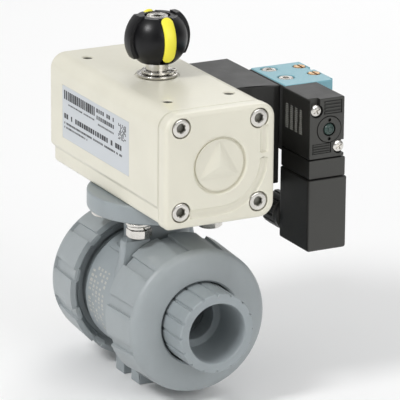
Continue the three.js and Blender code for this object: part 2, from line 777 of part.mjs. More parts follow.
function overrideRetainer() {
  const backX = pilotFaceX - 1.2;
  return cut(
    rodX(5.9, backX, pilotFaceX + 0.3, overrideY, overrideZ, 28),
    rodX(3, backX - 1, pilotFaceX + 1, overrideY, overrideZ, 20),
    ...[-4.3, 4.3].map((z) => rodX(0.7, backX + 0.4, pilotFaceX + 1, overrideY, overrideZ + z, 10)),
  );
}

// Button that is pressed in to work the pilot by hand
function overrideButton() {
  const dome = arc(pilotFaceX - 1.2, 0, 2.6, 60, 0, 4).map(([x, r]) => [r, x]);
  return turnedX(
    [[0, pilotFaceX - 6], [2.6, pilotFaceX - 6], [2.6, pilotFaceX - 0.6], ...dome.slice(1)],
    20, overrideY, overrideZ,
  );
}

// Cross-head screw: pan head along X
function pilotScrew(y, z) {
  const headX = pilotFaceX - 2.5;
  const faceX = pilotFaceX - 0.2;
  const slots = [0, 90].map((turn) =>
    block(faceX - 0.9, faceX + 1, -1.7, 1.7, -0.3, 0.3).rotate([turn + 30, 0, 0]).translate([0, y, z]));
  return cut(
    join(rodX(2.8, headX, faceX, y, z, 20), rodX(1.1, headX - 7, headX + 0.1, y, z, 10)),
    ...slots,
  );
}

function connectorCollar() {
  return block(pilotBackX, 54.2, 47.8, 66.2, boxTopZ + gap, pilotBottomZ - gap);
}

// Connector housing, hollow and open at the top under the collar, with the cable entry in its rear wall
function connectorBox() {
  return cut(
    block(28, 54.8, 47.4, 67, boxBottomZ, boxTopZ),
    block(30.5, 52.3, 49.8, 64.6, boxBottomZ + 2.5, boxTopZ + 1),
    rodX(4.6, 25, 32, glandY, glandZ, 20),
  );
}

function cableGland() {
  return cut(
    rodX(glandRadius, 12, 28 - gap, glandY, glandZ, 28),
    rodX(4.6, 11, 29, glandY, glandZ, 20),
  );
}

// The whole part, piece by piece
addPiece('valve_body', 'bodyGrey', valveBody());
addPiece('ball', 'acetal', ball());
addPiece('stem', 'bodyGrey', stem());
addPiece('stem_o_ring', 'rubber', turnedZ(torusProfile(stemRadius - 0.95, 0.75, stemRingZ), 16));
addPiece('seat_carrier', 'bodyGrey', seatCarrier());
for (const [end, side] of ends) {
  addPiece(`seat_ring_${end}`, 'ptfe', seatRing(side));
  addPiece(`face_o_ring_${end}`, 'rubber', turnedX(torusProfile(22.3, 1.05, side * (bodyEndX - 1.1)), 24));
  addPiece(`end_connector_${end}`, 'bodyGrey', endConnector(side));
  addPiece(`union_nut_${end}`, 'nutGrey', unionNut(side));
}
flangeCorners.forEach(([x, y], i) => {
  const washerTopZ = flangeBottomZ - 0.1;
  const springTopZ = washerTopZ - 1.3 - gap;
  const springWasher = cut(
    turnedZ(ringProfile(3.2, 5.3, springTopZ - 1.3, springTopZ), 16, x, y),
    block(x + 2, x + 7, y - 0.4, y + 0.4, springTopZ - 2, springTopZ + 1),
  );
  addPiece(`flange_bolt_${i + 1}`, 'steel', flangeBolt(x, y));
  const washerProfile = ringProfile(3.2, 6, washerTopZ - 1.3, washerTopZ);
  addPiece(`flat_washer_${i + 1}`, 'steel', turnedZ(washerProfile, 16, x, y));
  addPiece(`spring_washer_${i + 1}`, 'steel', springWasher);
});

addPiece('actuator_body', 'cream', actuatorBody());
addPiece('end_cap', 'cream', endCap());
addPiece('end_cap_gasket', 'paleGasket', capGasket());
capCorners.forEach(([y, z], i) => addPiece(`end_cap_screw_${i + 1}`, 'steel', capScrew(y, z)));
addPiece('pinion_shaft', 'steel', pinion());
for (const [end, side] of ends) {
  const ringX = side * (pistonHeadX + pistonHeadLength / 2);
  addPiece(`piston_${end}`, 'aluminium', piston(side));
  addPiece(`piston_ring_${end}`, 'rubber', turnedX(torusProfile(18.6, 1.15, ringX), 24, 0, cylinderZ));
  addPiece(`indicator_stripe_${end}`, 'yellow', indicatorStripe(side));
}
addPiece('thrust_washer', 'steel',
  turnedZ(ringProfile(shaftRadius + 0.3, 9.1, actuatorTopZ + 0.2, actuatorTopZ + 1.2), 28));
addPiece('circlip', 'steel', circlip());
addPiece('indicator_ball', 'blackPlastic', indicatorBall());
addPiece('indicator_screw', 'steel', indicatorScrew());
addPiece('label', 'paper', block(
  -42, 26, labelFloorY - gap - 0.2, labelFloorY - gap,
  actuatorTopZ - labelLowDepth, actuatorTopZ - labelHighDepth,
));

addPiece('namur_adapter', 'darkAdapter', namurAdapter());
addPiece('valve_gasket', 'paleGasket', valveGasket());
addPiece('solenoid_valve_body', 'teal', solenoidValveBody());
addPiece('spool', 'aluminium', spool());
mountScrews.forEach(([x, y], i) => addPiece(`mount_screw_${i + 1}`, 'steel', mountScrew(x, y)));
plugPlaces.forEach(([x, y], i) => addPiece(`brass_plug_${i + 1}`, 'brass', brassPlug(x, y)));
addPiece('pilot_block', 'blackPlastic', pilotBlock());
addPiece('override_retainer', 'blackPlastic', overrideRetainer());
addPiece('override_button', 'green', overrideButton());
pilotScrews.forEach(([y, z], i) => addPiece(`pilot_screw_${i + 1}`, 'steel', pilotScrew(y, z)));
addPiece('connector_collar', 'blackPlastic', connectorCollar());
addPiece('connector_box', 'blackPlastic', connectorBox());
addPiece('cable_gland', 'blackPlastic', cableGland());

export default part;
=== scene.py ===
"""Looks of a pneumatically actuated union ball valve with a solenoid pilot valve.

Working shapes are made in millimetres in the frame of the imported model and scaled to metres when
they are finished. +X runs along the pipe, +Y towards the solenoid valve and +Z up the stem.
"""

import math

import bmesh
import bpy
from mathutils import Matrix, Vector


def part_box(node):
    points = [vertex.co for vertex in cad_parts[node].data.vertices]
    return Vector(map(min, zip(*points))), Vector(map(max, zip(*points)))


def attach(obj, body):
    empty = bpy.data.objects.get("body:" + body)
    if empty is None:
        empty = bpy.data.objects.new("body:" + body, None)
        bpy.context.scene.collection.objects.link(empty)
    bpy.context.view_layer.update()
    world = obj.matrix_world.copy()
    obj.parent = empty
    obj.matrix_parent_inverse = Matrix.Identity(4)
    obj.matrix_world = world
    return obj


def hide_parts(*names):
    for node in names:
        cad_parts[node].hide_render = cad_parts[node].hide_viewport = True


bl_info = {
    "name": "Actuated Union Ball Valve",
    "version": (1, 0, 0),
    "blender": (4, 5, 0),
    "location": "View3D > Sidebar > Ball Valve",
    "description": "Builds the visible pieces of an actuated union ball valve round its packed frame",
    "category": "Object",
}

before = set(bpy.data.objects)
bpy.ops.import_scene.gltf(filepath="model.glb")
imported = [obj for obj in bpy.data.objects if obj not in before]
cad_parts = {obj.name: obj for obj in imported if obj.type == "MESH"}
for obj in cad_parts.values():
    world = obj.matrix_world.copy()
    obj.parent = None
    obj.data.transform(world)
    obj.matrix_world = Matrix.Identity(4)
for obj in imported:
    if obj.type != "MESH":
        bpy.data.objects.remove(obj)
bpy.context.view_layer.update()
MM = 0.001
X, Y, Z = 0, 1, 2


def span(node, axis):
    """Lowest and highest coordinate of a CAD node along an axis, in millimetres"""
    low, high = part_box(node)
    return low[axis] / MM, high[axis] / MM


def middle(node, axis):
    return sum(span(node, axis)) / 2


PIPE_Z = middle("union_nut_front", Z)
CYLINDER_Z = middle("piston_ring_front", Z)
BOTTOM_Z, TOP_Z = span("actuator_body", Z)
CASING_REAR, CASING_FRONT = span("actuator_body", X)
CASING_HALF = span("actuator_body", Y)[1]
FLANGE_TOP = span("valve_body", Z)[1]
HUB_END = span("end_connector_front", X)[1]
NUT_INNER, NUT_FACE = span("union_nut_front", X)
NUT_RADIUS = (span("union_nut_front", Z)[1] - span("union_nut_front", Z)[0]) / 2
BALL_RADIUS = (span("ball", Z)[1] - span("ball", Z)[0]) / 2
KNOB_BOTTOM = span("indicator_ball", Z)[0]
BOLT_REACH = middle("flange_bolt_2", X)
CAP_REACH = middle("end_cap_screw_2", Y)
CAP_BACK, CAP_FRONT = span("end_cap_gasket", X)[1] + 0.3, span("end_cap", X)[1] - 0.4
PILOT_FACE = span("pilot_block", X)[1]
PORT_Z = TOP_Z - 22.0
ACCESSORY_X, ACCESSORY_Y = 40.0, 15.0
INK_THICKNESS = 0.06
CORNERS = [(i, j) for i in (-1, 1) for j in (-1, 1)]


# ---------------------------------------------------------------- sizes and colours

def length(name, text, metres):
    return bpy.props.FloatProperty(name=name, description=text, default=metres, min=0.0,
                                   unit="LENGTH", subtype="DISTANCE", precision=5)


def tint(name, text, red, green, blue):
    return bpy.props.FloatVectorProperty(name=name, description=text, size=3, min=0.0, max=1.0,
                                         subtype="COLOR", default=(red, green, blue))


class BallValveSizes(bpy.types.PropertyGroup):
    """Sizes that change how the pieces look"""
    casing_edge: length("Casing Edge", "Rounding of the closed end of the casing", 0.004)
    cap_edge: length("Cap Edge", "Rounding of the front edge of the end cap", 0.0019)
    moulded_edge: length("Moulded Edge", "Rounding of the edges of moulded blocks", 0.0006)
    nut_pads: bpy.props.IntProperty(
        name="Nut Pads", description="Grip pads round each union nut", default=11, min=3)
    nut_groove: length("Nut Groove", "Width of the groove between two pads", 0.0054)
    nut_groove_depth: length("Nut Groove Depth", "Depth of the groove between two pads", 0.0014)
    hub_ribs: bpy.props.IntProperty(
        name="Hub Ribs", description="Flat ribs round each pipe socket", default=16, min=3)
    hub_groove: length("Hub Groove", "Width of the groove between two ribs", 0.0011)
    hub_groove_depth: length("Hub Groove Depth", "Depth of the groove between two ribs", 0.0007)
    thread_pitch: length("Thread Pitch", "Pitch of the union threads", 0.004)
    thread_depth: length("Thread Depth", "Depth of the union threads", 0.001)
    stripe_width: length("Stripe Width", "Width of the indicator's stripes", 0.0056)


class BallValveColours(bpy.types.PropertyGroup):
    """Colours of the finishes"""
    valve: tint("Valve", "Moulded valve body", 0.305, 0.340, 0.356)
    nut: tint("Nut", "Moulded union nuts", 0.330, 0.362, 0.374)
    cream: tint("Cream", "Painted actuator casing", 0.735, 0.712, 0.602)
    black: tint("Black", "Moulded pilot and connector", 0.016, 0.016, 0.015)
    knob: tint("Knob", "Position indicator", 0.004, 0.004, 0.005)
    adapter: tint("Adapter", "Adapter block", 0.014, 0.014, 0.013)
    teal: tint("Teal", "Painted solenoid valve body", 0.200, 0.430, 0.500)
    yellow: tint("Yellow", "Indicator stripes", 0.950, 0.860, 0.060)
    steel: tint("Steel", "Screws, washers and shaft", 0.720, 0.700, 0.660)
    # painted shade: this dark colour on the socket and hole linings stands in for the shade inside them
    socket: tint("Socket", "Insides of screw sockets and threaded holes", 0.230, 0.225, 0.200)
    brass: tint("Brass", "Port plugs", 0.640, 0.410, 0.220)
    aluminium: tint("Aluminium", "Pistons and spool", 0.640, 0.650, 0.660)
    rubber: tint("Rubber", "Rings", 0.018, 0.018, 0.018)
    ball: tint("Ball", "Ball", 0.050, 0.055, 0.060)
    seat: tint("Seat", "Seat rings", 0.830, 0.830, 0.790)
    gasket: tint("Gasket", "Flat gaskets", 0.640, 0.600, 0.480)
    paper: tint("Paper", "Label film", 0.600, 0.630, 0.660)
    ink: tint("Ink", "Print on the label", 0.030, 0.032, 0.036)
    button: tint("Button", "Manual override", 0.040, 0.070, 0.062)


def sizes():
    return bpy.context.scene.ball_valve_sizes


def colours():
    return bpy.context.scene.ball_valve_colours


# ---------------------------------------------------------------- node trees

def add_node(tree, kind, inputs=None, **settings):
    """A node with its settings made, and its inputs linked or given values"""
    node = tree.nodes.new(kind)
    for key, value in settings.items():
        setattr(node, key, value)
    for key, value in (inputs or {}).items():
        if isinstance(value, bpy.types.NodeSocket):
            tree.links.new(value, node.inputs[key])
        else:
            node.inputs[key].default_value = value
    return node


def calc(tree, operation, *values):
    """Output of a Math node"""
    return add_node(tree, "ShaderNodeMath", dict(enumerate(values)), operation=operation).outputs[0]


def ramp(tree, value, low, high, to_low=0.0, to_high=1.0, smooth=True):
    """Output of a Map Range node from low..high to to_low..to_high"""
    inputs = {"Value": value, "From Min": low, "From Max": high, "To Min": to_low, "To Max": to_high}
    kind = "SMOOTHSTEP" if smooth else "LINEAR"
    return add_node(tree, "ShaderNodeMapRange", inputs, interpolation_type=kind).outputs[0]


def new_geometry_tree(name, inputs):
    """An empty Geometry Nodes tree with named inputs, its input node and its output node"""
    tree = bpy.data.node_groups.new(name, "GeometryNodeTree")
    tree.interface.new_socket("Geometry", in_out="INPUT", socket_type="NodeSocketGeometry")
    for key, kind in inputs:
        tree.interface.new_socket(key, in_out="INPUT", socket_type="NodeSocket" + kind)
    tree.interface.new_socket("Geometry", in_out="OUTPUT", socket_type="NodeSocketGeometry")
    return tree, tree.nodes.new("NodeGroupInput"), tree.nodes.new("NodeGroupOutput")


def end_tree(tree, geometry, material, output):
    """Every tree ends in Realize Instances and Set Material"""
    real = add_node(tree, "GeometryNodeRealizeInstances", {"Geometry": geometry})
    last = add_node(tree, "GeometryNodeSetMaterial",
                    {"Geometry": real.outputs[0], "Material": material})
    tree.links.new(last.outputs[0], output.inputs[0])


def use_tree(obj, tree, **values):
    """Puts a tree on an object with its inputs set, and turns the result into a plain mesh"""
    modifier = obj.modifiers.new(tree.name, "NODES")
    modifier.node_group = tree
    for item in tree.interface.items_tree:
        key = item.name.lower().replace(" ", "_")
        if item.in_out == "INPUT" and key in values:
            modifier[item.identifier] = values[key]
    return apply_modifiers(obj)


def apply_modifiers(obj):
    """Swaps an object's mesh for its evaluated one, so that no modifier is left"""
    bpy.context.view_layer.update()
    evaluated = obj.evaluated_get(bpy.context.evaluated_depsgraph_get())
    mesh = bpy.data.meshes.new_from_object(
        evaluated, preserve_all_data_layers=True, depsgraph=bpy.context.evaluated_depsgraph_get())
    obj.modifiers.clear()
    obj.data = mesh
    return obj


def groove_tree():
    """Sinks evenly spaced grooves into the outside of a turned piece that lies along X"""
    tree, given, output = new_geometry_tree("Grip Grooves", [
        ("Count", "Int"), ("Width", "Float"), ("Depth", "Float"), ("Phase", "Float"),
        ("Softness", "Float"), ("From X", "Float"), ("To X", "Float"), ("Beyond Radius", "Float"),
        ("Axis Y", "Float"), ("Axis Z", "Float"), ("Material", "Material")])
    sockets = given.outputs
    place = add_node(tree, "ShaderNodeSeparateXYZ",
                     {0: add_node(tree, "GeometryNodeInputPosition").outputs[0]})
    across = calc(tree, "SUBTRACT", place.outputs[1], sockets["Axis Y"])
    up = calc(tree, "SUBTRACT", place.outputs[2], sockets["Axis Z"])
    radius = calc(tree, "SQRT", calc(tree, "ADD", calc(tree, "MULTIPLY", across, across),
                                     calc(tree, "MULTIPLY", up, up)))
    turn = calc(tree, "SUBTRACT", calc(tree, "ARCTAN2", up, across), sockets["Phase"])
    step = calc(tree, "DIVIDE", 2 * math.pi, sockets["Count"])
    part = calc(tree, "FRACT", calc(tree, "ADD", calc(tree, "DIVIDE", turn, step), 0.5))
    away = calc(tree, "ABSOLUTE", calc(tree, "SUBTRACT", part, 0.5))
    distance = calc(tree, "MULTIPLY", calc(tree, "MULTIPLY", away, step), radius)
    half = calc(tree, "MULTIPLY", sockets["Width"], 0.5)
    soft = sockets["Softness"]
    groove = ramp(tree, distance, calc(tree, "SUBTRACT", half, soft), calc(tree, "ADD", half, soft),
                  1.0, 0.0)
    starts = ramp(tree, place.outputs[0], calc(tree, "SUBTRACT", sockets["From X"], soft),
                  calc(tree, "ADD", sockets["From X"], soft))
    ends = ramp(tree, place.outputs[0], calc(tree, "SUBTRACT", sockets["To X"], soft),
                calc(tree, "ADD", sockets["To X"], soft), 1.0, 0.0)
    outside = calc(tree, "GREATER_THAN", radius, sockets["Beyond Radius"])
    amount = calc(tree, "MULTIPLY", calc(tree, "MULTIPLY", groove, outside),
                  calc(tree, "MULTIPLY", starts, ends))
    sink = calc(tree, "DIVIDE", calc(tree, "MULTIPLY", amount, sockets["Depth"]), radius)
    inward = calc(tree, "MULTIPLY", sink, -1.0)
    offset = add_node(tree, "ShaderNodeCombineXYZ", {
        "Y": calc(tree, "MULTIPLY", across, inward), "Z": calc(tree, "MULTIPLY", up, inward)})
    moved = add_node(tree, "GeometryNodeSetPosition",
                     {"Geometry": sockets["Geometry"], "Offset": offset.outputs[0]})
    end_tree(tree, moved.outputs[0], sockets["Material"], output)
    return tree


def pattern_tree():
    """Places a piece on the four corners of a rectangle in the plane across the piece's own axis"""
    tree, given, output = new_geometry_tree("Corner Pattern", [
        ("Piece", "Object"), ("Spacing A", "Float"), ("Spacing B", "Float"), ("Centre", "Vector"),
        ("Turn", "Vector"), ("Material", "Material")])
    sockets = given.outputs
    grid = add_node(tree, "GeometryNodeMeshGrid", {
        "Size X": sockets["Spacing A"], "Size Y": sockets["Spacing B"],
        "Vertices X": 2, "Vertices Y": 2})
    placed = add_node(tree, "GeometryNodeTransform", {
        "Geometry": grid.outputs[0], "Translation": sockets["Centre"], "Rotation": sockets["Turn"]})
    piece = add_node(tree, "GeometryNodeObjectInfo", {"Object": sockets["Piece"]})
    copies = add_node(tree, "GeometryNodeInstanceOnPoints", {
        "Points": placed.outputs[0], "Instance": piece.outputs["Geometry"],
        "Rotation": sockets["Turn"]})
    end_tree(tree, copies.outputs[0], sockets["Material"], output)
    return tree


def print_tree():
    """Lays rows of small bars of uneven width on a plane that faces -Y, as generic print"""
    tree, given, output = new_geometry_tree("Printed Bars", [
        ("Columns", "Int"), ("Rows", "Int"), ("Width", "Float"), ("Height", "Float"),
        ("Gap Share", "Float"), ("Bar Height", "Float"), ("Thickness", "Float"), ("Seed", "Int"),
        ("Corner", "Vector"), ("Material", "Material")])
    sockets = given.outputs
    grid = add_node(tree, "GeometryNodeMeshGrid", {
        "Size X": sockets["Width"], "Size Y": sockets["Height"],
        "Vertices X": sockets["Columns"], "Vertices Y": sockets["Rows"]})
    chance = add_node(tree, "FunctionNodeRandomValue", {"Seed": sockets["Seed"]}, data_type="FLOAT")
    blank = calc(tree, "LESS_THAN", chance.outputs[1], sockets["Gap Share"])
    kept = add_node(tree, "GeometryNodeDeleteGeometry",
                    {"Geometry": grid.outputs[0], "Selection": blank}, domain="POINT")
    placed = add_node(tree, "GeometryNodeTransform", {
        "Geometry": kept.outputs[0], "Translation": sockets["Corner"],
        "Rotation": (math.pi / 2, 0.0, 0.0)})
    pitch = calc(tree, "DIVIDE", sockets["Width"], sockets["Columns"])
    share = add_node(tree, "FunctionNodeRandomValue",
                     {2: 0.55, 3: 0.98, "Seed": calc(tree, "ADD", sockets["Seed"], 7)},
                     data_type="FLOAT")
    size = add_node(tree, "ShaderNodeCombineXYZ", {
        "X": calc(tree, "MULTIPLY", pitch, share.outputs[1]),
        "Y": sockets["Thickness"], "Z": sockets["Bar Height"]})
    bar = add_node(tree, "GeometryNodeMeshCube", {"Size": (1.0, 1.0, 1.0)})
    copies = add_node(tree, "GeometryNodeInstanceOnPoints", {
        "Points": placed.outputs[0], "Instance": bar.outputs[0], "Scale": size.outputs[0]})
    end_tree(tree, copies.outputs[0], sockets["Material"], output)
    return tree


# ---------------------------------------------------------------- shapes, in millimetres

def linked(name, data):
    """A new object with its data, in the scene's own collection"""
    obj = bpy.data.objects.new(name, data)
    bpy.context.scene.collection.objects.link(obj)
    return obj


def shape(name, points, faces):
    """A working object from points and faces"""
    mesh = bpy.data.meshes.new(name)
    mesh.from_pydata([tuple(p) for p in points], [], faces)
    return tidy(linked(name, mesh))


def anchor(name):
    """A single point for a tree to build on"""
    return shape(name, [(0, 0, 0)], [])


def tidy(obj):
    """Merges doubles and turns the faces outwards"""
    work = bmesh.new()
    work.from_mesh(obj.data)
    bmesh.ops.remove_doubles(work, verts=work.verts, dist=1e-4)
    bmesh.ops.recalc_face_normals(work, faces=work.faces)
    work.to_mesh(obj.data)
    work.free()
    return obj


def placed(axis, along, u, v):
    """A point from its distance along an axis and its two coordinates across it"""
    return {X: (along, u, v), Y: (u, along, v), Z: (u, v, along)}[axis]


def circle_angles(count, start=0.0):
    return [start + 2 * math.pi * i / count for i in range(count)]


def pad_angles(count, groove_angle, soft_angle, phase, between=6):
    """Angles that put extra lines on both edges of each evenly spaced groove"""
    half = groove_angle / 2
    marks = [-half - soft_angle, -half, -half + soft_angle, 0.0,
             half - soft_angle, half, half + soft_angle]
    step = 2 * math.pi / count
    rest = step - 2 * (half + soft_angle)
    marks += [half + soft_angle + rest * (i + 1) / (between + 1) for i in range(between)]
    return [phase + step * n + mark for n in range(count) for mark in marks]


def thread_place(along, angle, pitch):
    """How far a point on a screw thread is from the middle of its ridge, as a share of the pitch"""
    return abs(((along / pitch - angle / (2 * math.pi)) % 1.0) - 0.5)


def thread_height(along, angle, pitch):
    """Height of a trapezoid thread at a point, from 0 at its floor to 1 on its ridge"""
    wave = thread_place(along, angle, pitch) * 4.0 - 1.0
    return min(max(wave * 0.9 + 0.5, 0.0), 1.0)


def turned(profile, axis=X, at=(0.0, 0.0), angles=None, rule=None):
    """A closed solid of revolution about a line along an axis.

    The profile lists (radius, distance along the axis), and closes on itself unless it starts on
    the axis. The rule moves a point: it is given radius, distance and angle, and returns the
    first two.
    """
    angles = angles or circle_angles(96)
    points, rings = [], []
    for radius, along in profile:
        ring = []
        for angle in (angles if radius > 1e-6 else angles[:1]):
            r, a = rule(radius, along, angle) if rule else (radius, along)
            ring.append(len(points))
            points.append(placed(axis, a, at[0] + r * math.cos(angle), at[1] + r * math.sin(angle)))
        rings.append(ring)
    pairs = list(zip(rings, rings[1:]))
    if profile[0][0] > 1e-6:
        pairs.append((rings[-1], rings[0]))
    faces = []
    count = len(angles)
    for low, high in pairs:
        for i in range(count):
            j = (i + 1) % count
            corners = [low[i % len(low)], low[j % len(low)], high[j % len(high)], high[i % len(high)]]
            face = list(dict.fromkeys(corners))
            if len(face) > 2:
                faces.append(face)
    return shape("turned", points, faces)


def eased(profile, reach, steps=4, closed=True):
    """The same outline with each corner turned into a smooth curve that starts reach away from it"""
    smooth = []
    count = len(profile)
    for i, corner in enumerate(profile):
        here = Vector(corner)
        if not closed and i in (0, count - 1):
            smooth.append(corner)
            continue
        before = Vector(profile[i - 1]) - here
        after = Vector(profile[(i + 1) % count]) - here
        size = min(reach, before.length * 0.45, after.length * 0.45)
        start = here + before.normalized() * size
        end = here + after.normalized() * size
        for k in range(steps + 1):
            t = k / steps
            smooth.append(tuple(start * (1 - t) ** 2 + here * 2 * t * (1 - t) + end * t * t))
    return smooth


def ring(inner, outer, low, high, reach=0.3):
    return eased([(inner, low), (outer, low), (outer, high), (inner, high)], reach, 3)


def rod(radius, low, high, axis=X, at=(0.0, 0.0), reach=0.0, count=64):
    """A solid cylinder, with its end edges eased where a reach is given"""
    profile = [(0.0, low), (radius, low), (radius, high), (0.0, high)]
    if reach:
        profile = eased(profile, reach, 3, closed=False)
    return turned(profile, axis, at, circle_angles(count))


def arc(cu, cv, radius, start, end, steps):
    """Points of an arc between two angles in degrees"""
    turns = [math.radians(start + (end - start) * i / steps) for i in range(steps + 1)]
    return [(cu + radius * math.cos(t), cv + radius * math.sin(t)) for t in turns]


def rounded_rectangle(u0, u1, v0, v1, radii, steps=8):
    """Rectangle with a radius at each corner, as a function of how far it is drawn in"""
    def outline(inset=0.0):
        a, b, c, d = [max(r - inset, 0.05) for r in radii]
        p, q, s, t = u0 + inset, u1 - inset, v0 + inset, v1 - inset
        return (arc(p + a, s + a, a, 180, 270, steps) + arc(q - b, s + b, b, 270, 360, steps)
                + arc(q - c, t - c, c, 0, 90, steps) + arc(p + d, t - d, d, 90, 180, steps))
    return outline


def drawn_in(points):
    """Any anticlockwise outline as a function of how far it is drawn in"""
    def outline(inset=0.0):
        moved = []
        for i, here in enumerate(points):
            back, ahead = points[i - 1], points[(i + 1) % len(points)]
            one = Vector((here[0] - back[0], here[1] - back[1])).normalized()
            two = Vector((ahead[0] - here[0], ahead[1] - here[1])).normalized()
            across = Vector((-one.y - two.y, one.x + two.x))
            scale = inset / max(1.0 + one.dot(two), 0.3)
            moved.append((here[0] + across.x * scale, here[1] + across.y * scale))
        return moved
    return outline


def loop_faces(loops):
    """Faces that close a row of like loops of points into a solid"""
    faces = [list(loops[0]), list(loops[-1])]
    count = len(loops[0])
    for one, two in zip(loops, loops[1:]):
        faces += [[one[i], one[(i + 1) % count], two[(i + 1) % count], two[i]] for i in range(count)]
    return faces


def prism(outline, axis, low, high, low_edge=0.0, high_edge=0.0, steps=5):
    """An outline carried along an axis, with its two end edges rounded"""
    levels = []
    for k in range(steps + 1 if low_edge else 1):
        t = math.radians(90 * k / steps)
        levels.append((low + low_edge * (1 - math.sin(t)), low_edge * (1 - math.cos(t))))
    levels.reverse()
    for k in range(steps + 1 if high_edge else 1):
        t = math.radians(90 * k / steps)
        levels.append((high - high_edge * (1 - math.sin(t)), high_edge * (1 - math.cos(t))))
    points, loops = [], []
    for along, inset in levels:
        loop = outline(inset)
        loops.append(range(len(points), len(points) + len(loop)))
        points += [placed(axis, along, u, v) for u, v in loop]
    return shape("prism", points, loop_faces(loops))


def block(x, y, z, edge=0.0, steps=3):
    """A box from its spans, with all its edges rounded"""
    work = bmesh.new()
    bmesh.ops.create_cube(work, size=1.0)
    centre = [sum(s) / 2 for s in (x, y, z)]
    size = [s[1] - s[0] for s in (x, y, z)]
    for vert in work.verts:
        vert.co = [centre[i] + vert.co[i] * size[i] for i in range(3)]
    if edge:
        bmesh.ops.bevel(work, geom=list(work.edges), offset=edge, segments=steps, profile=0.5,
                        affect="EDGES", clamp_overlap=True)
    mesh = bpy.data.meshes.new("block")
    work.to_mesh(mesh)
    work.free()
    return tidy(linked("block", mesh))


def hexagon(across_flats, u=0.0, v=0.0):
    corner = across_flats / math.sqrt(3)
    return [(u + corner * math.cos(t), v + corner * math.sin(t)) for t in circle_angles(6)]


def tube(path, radius, count=16):
    """A round bar along a path of points, closed at both ends"""
    points, loops = [], []
    for i, here in enumerate(path):
        ahead = Vector(path[min(i + 1, len(path) - 1)]) - Vector(path[max(i - 1, 0)])
        frame_turn = ahead.to_track_quat("Z", "Y")
        loops.append(range(len(points), len(points) + count))
        for t in circle_angles(count):
            side = Vector((math.cos(t) * radius, math.sin(t) * radius, 0.0))
            points.append(Vector(here) + frame_turn @ side)
    return shape("tube", points, loop_faces(loops))


def combine(whole, operation, others):
    """Joins or cuts with each of the others, which are then gone"""
    for other in others:
        modifier = whole.modifiers.new("combine", "BOOLEAN")
        modifier.operation = operation
        modifier.solver = "MANIFOLD"
        modifier.object = other
        apply_modifiers(whole)
        bpy.data.objects.remove(other)
    return whole


def joined(whole, *others):
    return combine(whole, "UNION", others)


def cut(whole, *tools):
    return combine(whole, "DIFFERENCE", tools)


def shared(whole, *others):
    return combine(whole, "INTERSECT", others)


def beside(*objs):
    """Separate bodies as one object"""
    work = bmesh.new()
    for obj in objs:
        work.from_mesh(obj.data)
    first = objs[0]
    work.to_mesh(first.data)
    work.free()
    for obj in objs[1:]:
        bpy.data.objects.remove(obj)
    return first


def turned_about(obj, axis, degrees, centre=(0.0, 0.0, 0.0)):
    """Turns a working shape in its mesh about a line through a point"""
    back = Matrix.Translation(centre)
    obj.data.transform(back @ Matrix.Rotation(math.radians(degrees), 4, "XYZ"[axis]) @ back.inverted())
    return obj


def other_side(obj):
    """Mirrors a working shape in X"""
    obj.data.transform(Matrix.Diagonal((-1.0, 1.0, 1.0, 1.0)))
    return tidy(obj)


def soften(obj, width, sharp=32.0, segments=2):
    """Rounds the sharp edges that joining and cutting left"""
    work = bmesh.new()
    work.from_mesh(obj.data)
    bmesh.ops.remove_doubles(work, verts=work.verts, dist=0.02)
    bmesh.ops.dissolve_limit(work, angle_limit=math.radians(0.6), verts=work.verts, edges=work.edges)
    work.to_mesh(obj.data)
    work.free()
    modifier = obj.modifiers.new("soften", "BEVEL")
    modifier.width = width
    modifier.segments = segments
    modifier.limit_method = "ANGLE"
    modifier.angle_limit = math.radians(sharp)
    modifier.use_clamp_overlap = False
    return apply_modifiers(obj)


def on_corners(piece, tree, spacing, finish, centre=(0.0, 0.0, 0.0), turn=(0.0, 0.0, 0.0)):
    """Four copies of a piece on the corners of a rectangle; the piece itself is then gone"""
    carrier = anchor("carrier")
    use_tree(carrier, tree, piece=piece, spacing_a=spacing[0], spacing_b=spacing[1],
             centre=centre, turn=turn, material=finish)
    bpy.data.objects.remove(piece)
    return carrier


def rows_of_print(tree, ink, **layout):
    """Rows of printed bars, as thick as ink lies"""
    sheet = anchor("sheet")
    return use_tree(sheet, tree, thickness=INK_THICKNESS, material=ink, **layout)


def finished(obj, name, material, body, slot, *nodes, smooth=34.0):
    """Scales a working shape to metres, smooths it, and hangs it on its body in place of nodes"""
    obj.data.transform(Matrix.Scale(MM, 4))
    obj.name = obj.data.name = name
    obj.data.materials.clear()
    obj.data.materials.append(material)
    obj.data.polygons.foreach_set("material_index", [0] * len(obj.data.polygons))
    obj.data.shade_smooth()
    obj.data.set_sharp_from_angle(angle=math.radians(smooth))
    weighting = obj.modifiers.new("weighting", "WEIGHTED_NORMAL")
    weighting.keep_sharp = True
    apply_modifiers(obj)
    obj.data.name = name
    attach(obj, body)
    if nodes:
        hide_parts(*nodes)
    return obj


# ---------------------------------------------------------------- materials

def surface(name, **settings):
    """A material with its shader and output nodes; the settings go straight on the shader"""
    material = bpy.data.materials.new(name)
    material.use_nodes = True
    tree = material.node_tree
    tree.nodes.clear()
    shader = add_node(tree, "ShaderNodeBsdfPrincipled", settings)
    output = add_node(tree, "ShaderNodeOutputMaterial", {"Surface": shader.outputs[0]})
    output.location = (300, 0)
    place = add_node(tree, "ShaderNodeTexCoord").outputs["Object"]
    return material, tree, shader, place


def noise(tree, place, scale, detail=3.0, roughness=0.55):
    inputs = {"Vector": place, "Scale": scale, "Detail": detail, "Roughness": roughness}
    return add_node(tree, "ShaderNodeTexNoise", inputs).outputs["Fac"]


def stretched(tree, place, factors):
    """Coordinates scaled by factors, so that a pattern runs long in one direction"""
    return add_node(tree, "ShaderNodeMapping", {"Vector": place, "Scale": factors}).outputs[0]


